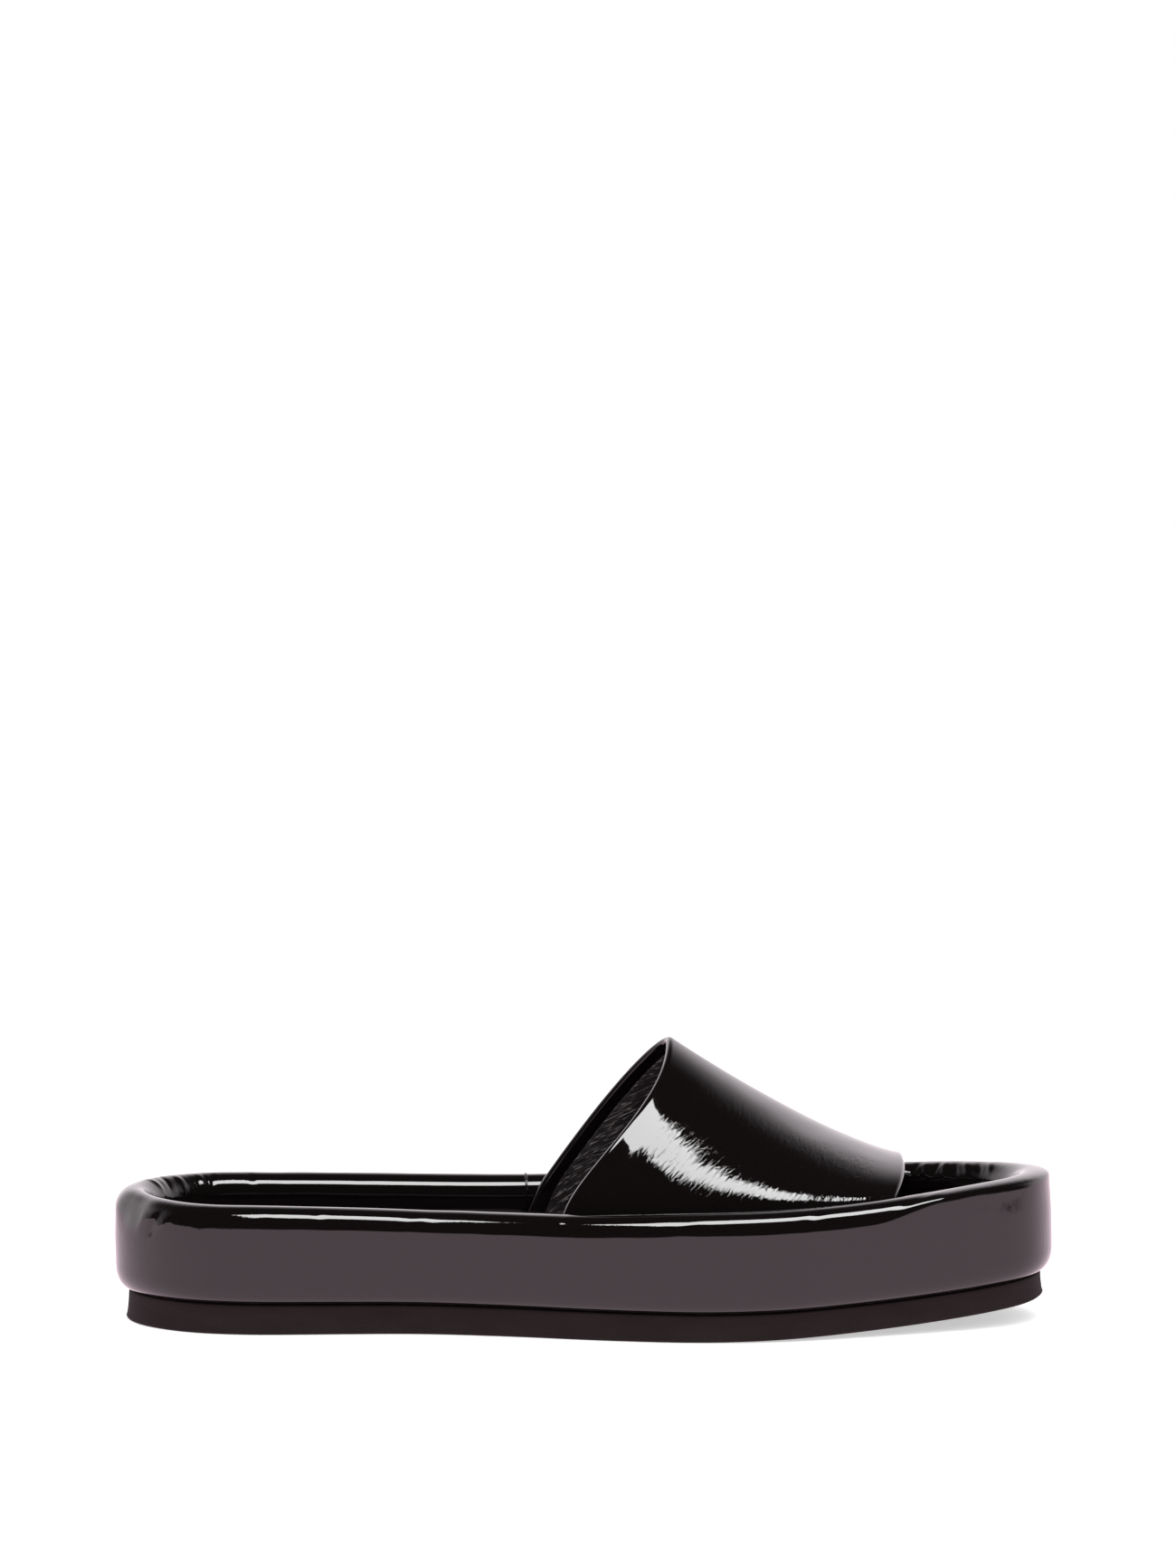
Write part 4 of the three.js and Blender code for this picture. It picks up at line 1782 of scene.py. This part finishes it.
@dataclass(frozen=True)
class Studio:
    """A pale floor, softboxes, a bright wall behind the sandal, and the camera.

    Attributes:
        distance: Distance of the camera, in metres.
        elevation: Degrees by which the camera looks down.
        aim: Where the camera looks.
        frame_height: Height of the picture at that distance.
        shift: Shift of the camera's frame, as Blender counts it.
        sensor: Width of the camera's sensor, in mm.
        floor_size: Side of the floor, in metres.
        floor_glow: Light that the floor itself gives.
        wall_tint: Colour of the wall as the gloss shows it.
        wall_turn: Shares of the way towards the wall between which it comes into sight.
        wall_fade: Heights between which it fades out.
        room_glow: Brightness of the dark room, as a share of the wall's.
        floor_tint: Colour of the floor as the gloss shows it.
        horizon: Heights between which the floor passes into the wall.
        softboxes: The lights.
    """

    distance: float = 1.8
    elevation: float = 9.0
    aim: tuple[float, float, float] = (0.0, 0.0, 0.018)
    frame_height: float = 0.4609
    shift: tuple[float, float] = (0.0020, 0.3009)
    sensor: float = 36.0
    floor_size: float = 12.0
    floor_glow: float = 0.5
    wall_tint: tuple[float, float, float] = (1.6, 1.48, 1.55)
    wall_turn: tuple[float, float] = (-0.15, 0.35)
    wall_fade: tuple[float, float] = (0.4, 0.82)
    room_glow: float = 0.025
    floor_tint: tuple[float, float, float, float] = (1.58, 1.26, 1.41, 1.0)
    horizon: tuple[float, float] = (0.01, -0.03)
    softboxes: tuple[Softbox, ...] = SOFTBOXES

    def camera(self) -> None:
        """Sets the camera beside the outer side of the sandal, a little above it."""
        data = bpy.data.cameras.new("camera")
        data.sensor_width = self.sensor
        data.lens = self.sensor * self.distance / self.frame_height
        data.shift_x, data.shift_y = self.shift
        data.clip_end = 20.0
        obj = new_object("camera", data)
        turn = math.radians(self.elevation)
        away = Vector((0, -math.cos(turn), math.sin(turn)))
        obj.location = Vector(self.aim) + away * self.distance
        obj.rotation_euler = Euler((math.radians(90 - self.elevation), 0, 0))
        bpy.context.scene.camera = obj

    def floor(self) -> None:
        """Lays the pale floor."""
        mesh = bpy.data.meshes.new("floor")
        half = self.floor_size / 2
        corners = [(x, y, -1e-4) for x, y in ((-half, -half), (half, -half), (half, half), (-half, half))]
        mesh.from_pydata(corners, [], [(0, 1, 2, 3)])
        material, _, shader = start_material("floor_paper")
        shader.inputs["Base Color"].default_value = linear("#f7f7f7")
        shader.inputs["Roughness"].default_value = 1.0
        shader.inputs["Specular IOR Level"].default_value = 0.0
        shader.inputs["Emission Color"].default_value = linear("#ffffff")
        shader.inputs["Emission Strength"].default_value = self.floor_glow
        mesh.materials.append(material)
        obj = new_object("floor", mesh)
        obj.visible_glossy = False

    def world(self) -> None:
        """A white wall behind the sandal, which fades out above it, and a dark room in front."""
        world = bpy.data.worlds.new("studio")
        world.use_nodes = True
        bpy.context.scene.world = world
        tree = world.node_tree
        tree.nodes.clear()
        direction = add(tree, "ShaderNodeTexCoord").outputs["Generated"]
        axes = add(tree, "ShaderNodeSeparateXYZ", {0: direction}).outputs
        shares = []
        for axis, (start, end), kind in (
            ("Y", self.wall_turn, "SMOOTHSTEP"),
            ("Z", self.wall_fade, "SMOOTHSTEP"),
            ("Z", self.horizon, "LINEAR"),
        ):
            inputs = {"Value": axes[axis], "From Min": start, "From Max": end}
            shares.append(add(tree, "ShaderNodeMapRange", inputs, interpolation_type=kind).outputs["Result"])
        behind, faded, below = shares
        low = add(tree, "ShaderNodeMath", {0: 1.0, 1: faded}, operation="SUBTRACT").outputs[0]
        wall = add(tree, "ShaderNodeMath", {0: behind, 1: low}, operation="MULTIPLY").outputs[0]
        inputs = {"Value": wall, "To Min": self.room_glow, "To Max": 1.0}
        glow = add(tree, "ShaderNodeMapRange", inputs).outputs["Result"]
        inputs = {0: self.wall_tint, "Scale": glow}
        above = add(tree, "ShaderNodeVectorMath", inputs, operation="SCALE").outputs[0]
        inputs = {"Factor": below, "A": above, "B": self.floor_tint}
        seen = add(tree, "ShaderNodeMix", inputs, data_type="RGBA").outputs["Result"]
        gloss = add(tree, "ShaderNodeBackground", {"Color": seen, "Strength": 1.0})
        plain = add(tree, "ShaderNodeBackground", {"Color": (1, 1, 1, 1), "Strength": 1.0})
        path = add(tree, "ShaderNodeLightPath").outputs["Is Glossy Ray"]
        mixed = add(tree, "ShaderNodeMixShader", {0: path, 1: plain.outputs[0], 2: gloss.outputs[0]})
        add(tree, "ShaderNodeOutputWorld", {"Surface": mixed.outputs[0]})

    def build(self) -> None:
        """Sets up the whole studio."""
        self.camera()
        self.floor()
        self.world()
        for softbox in self.softboxes:
            softbox.hang()
        bpy.context.scene.view_settings.view_transform = "Standard"


def main() -> None:
    """Builds the sandal and its studio, piece by piece."""
    logging.basicConfig(level=logging.INFO, format="%(name)s: %(message)s")
    Studio().build()
    form = SoleForm()
    patent = PatentLeather().build("patent_leather")
    lining = LiningLeather().build("lining_leather")
    rubber = SoleRubber().build("blown_rubber")
    matt = LiningLeather(colour="#151011", roughness=0.75, shine=0.12, wrinkle_height=0.05)
    footbed = matt.build("footbed_leather")
    pieces = [Outsole(form).build(rubber), Insole(form).build(footbed)]
    pieces += Platform(form).build(patent)
    pieces += Strap(form).build(patent, lining)
    for piece in pieces:
        piece.hand_over()


if __name__ == "__main__":
    main()
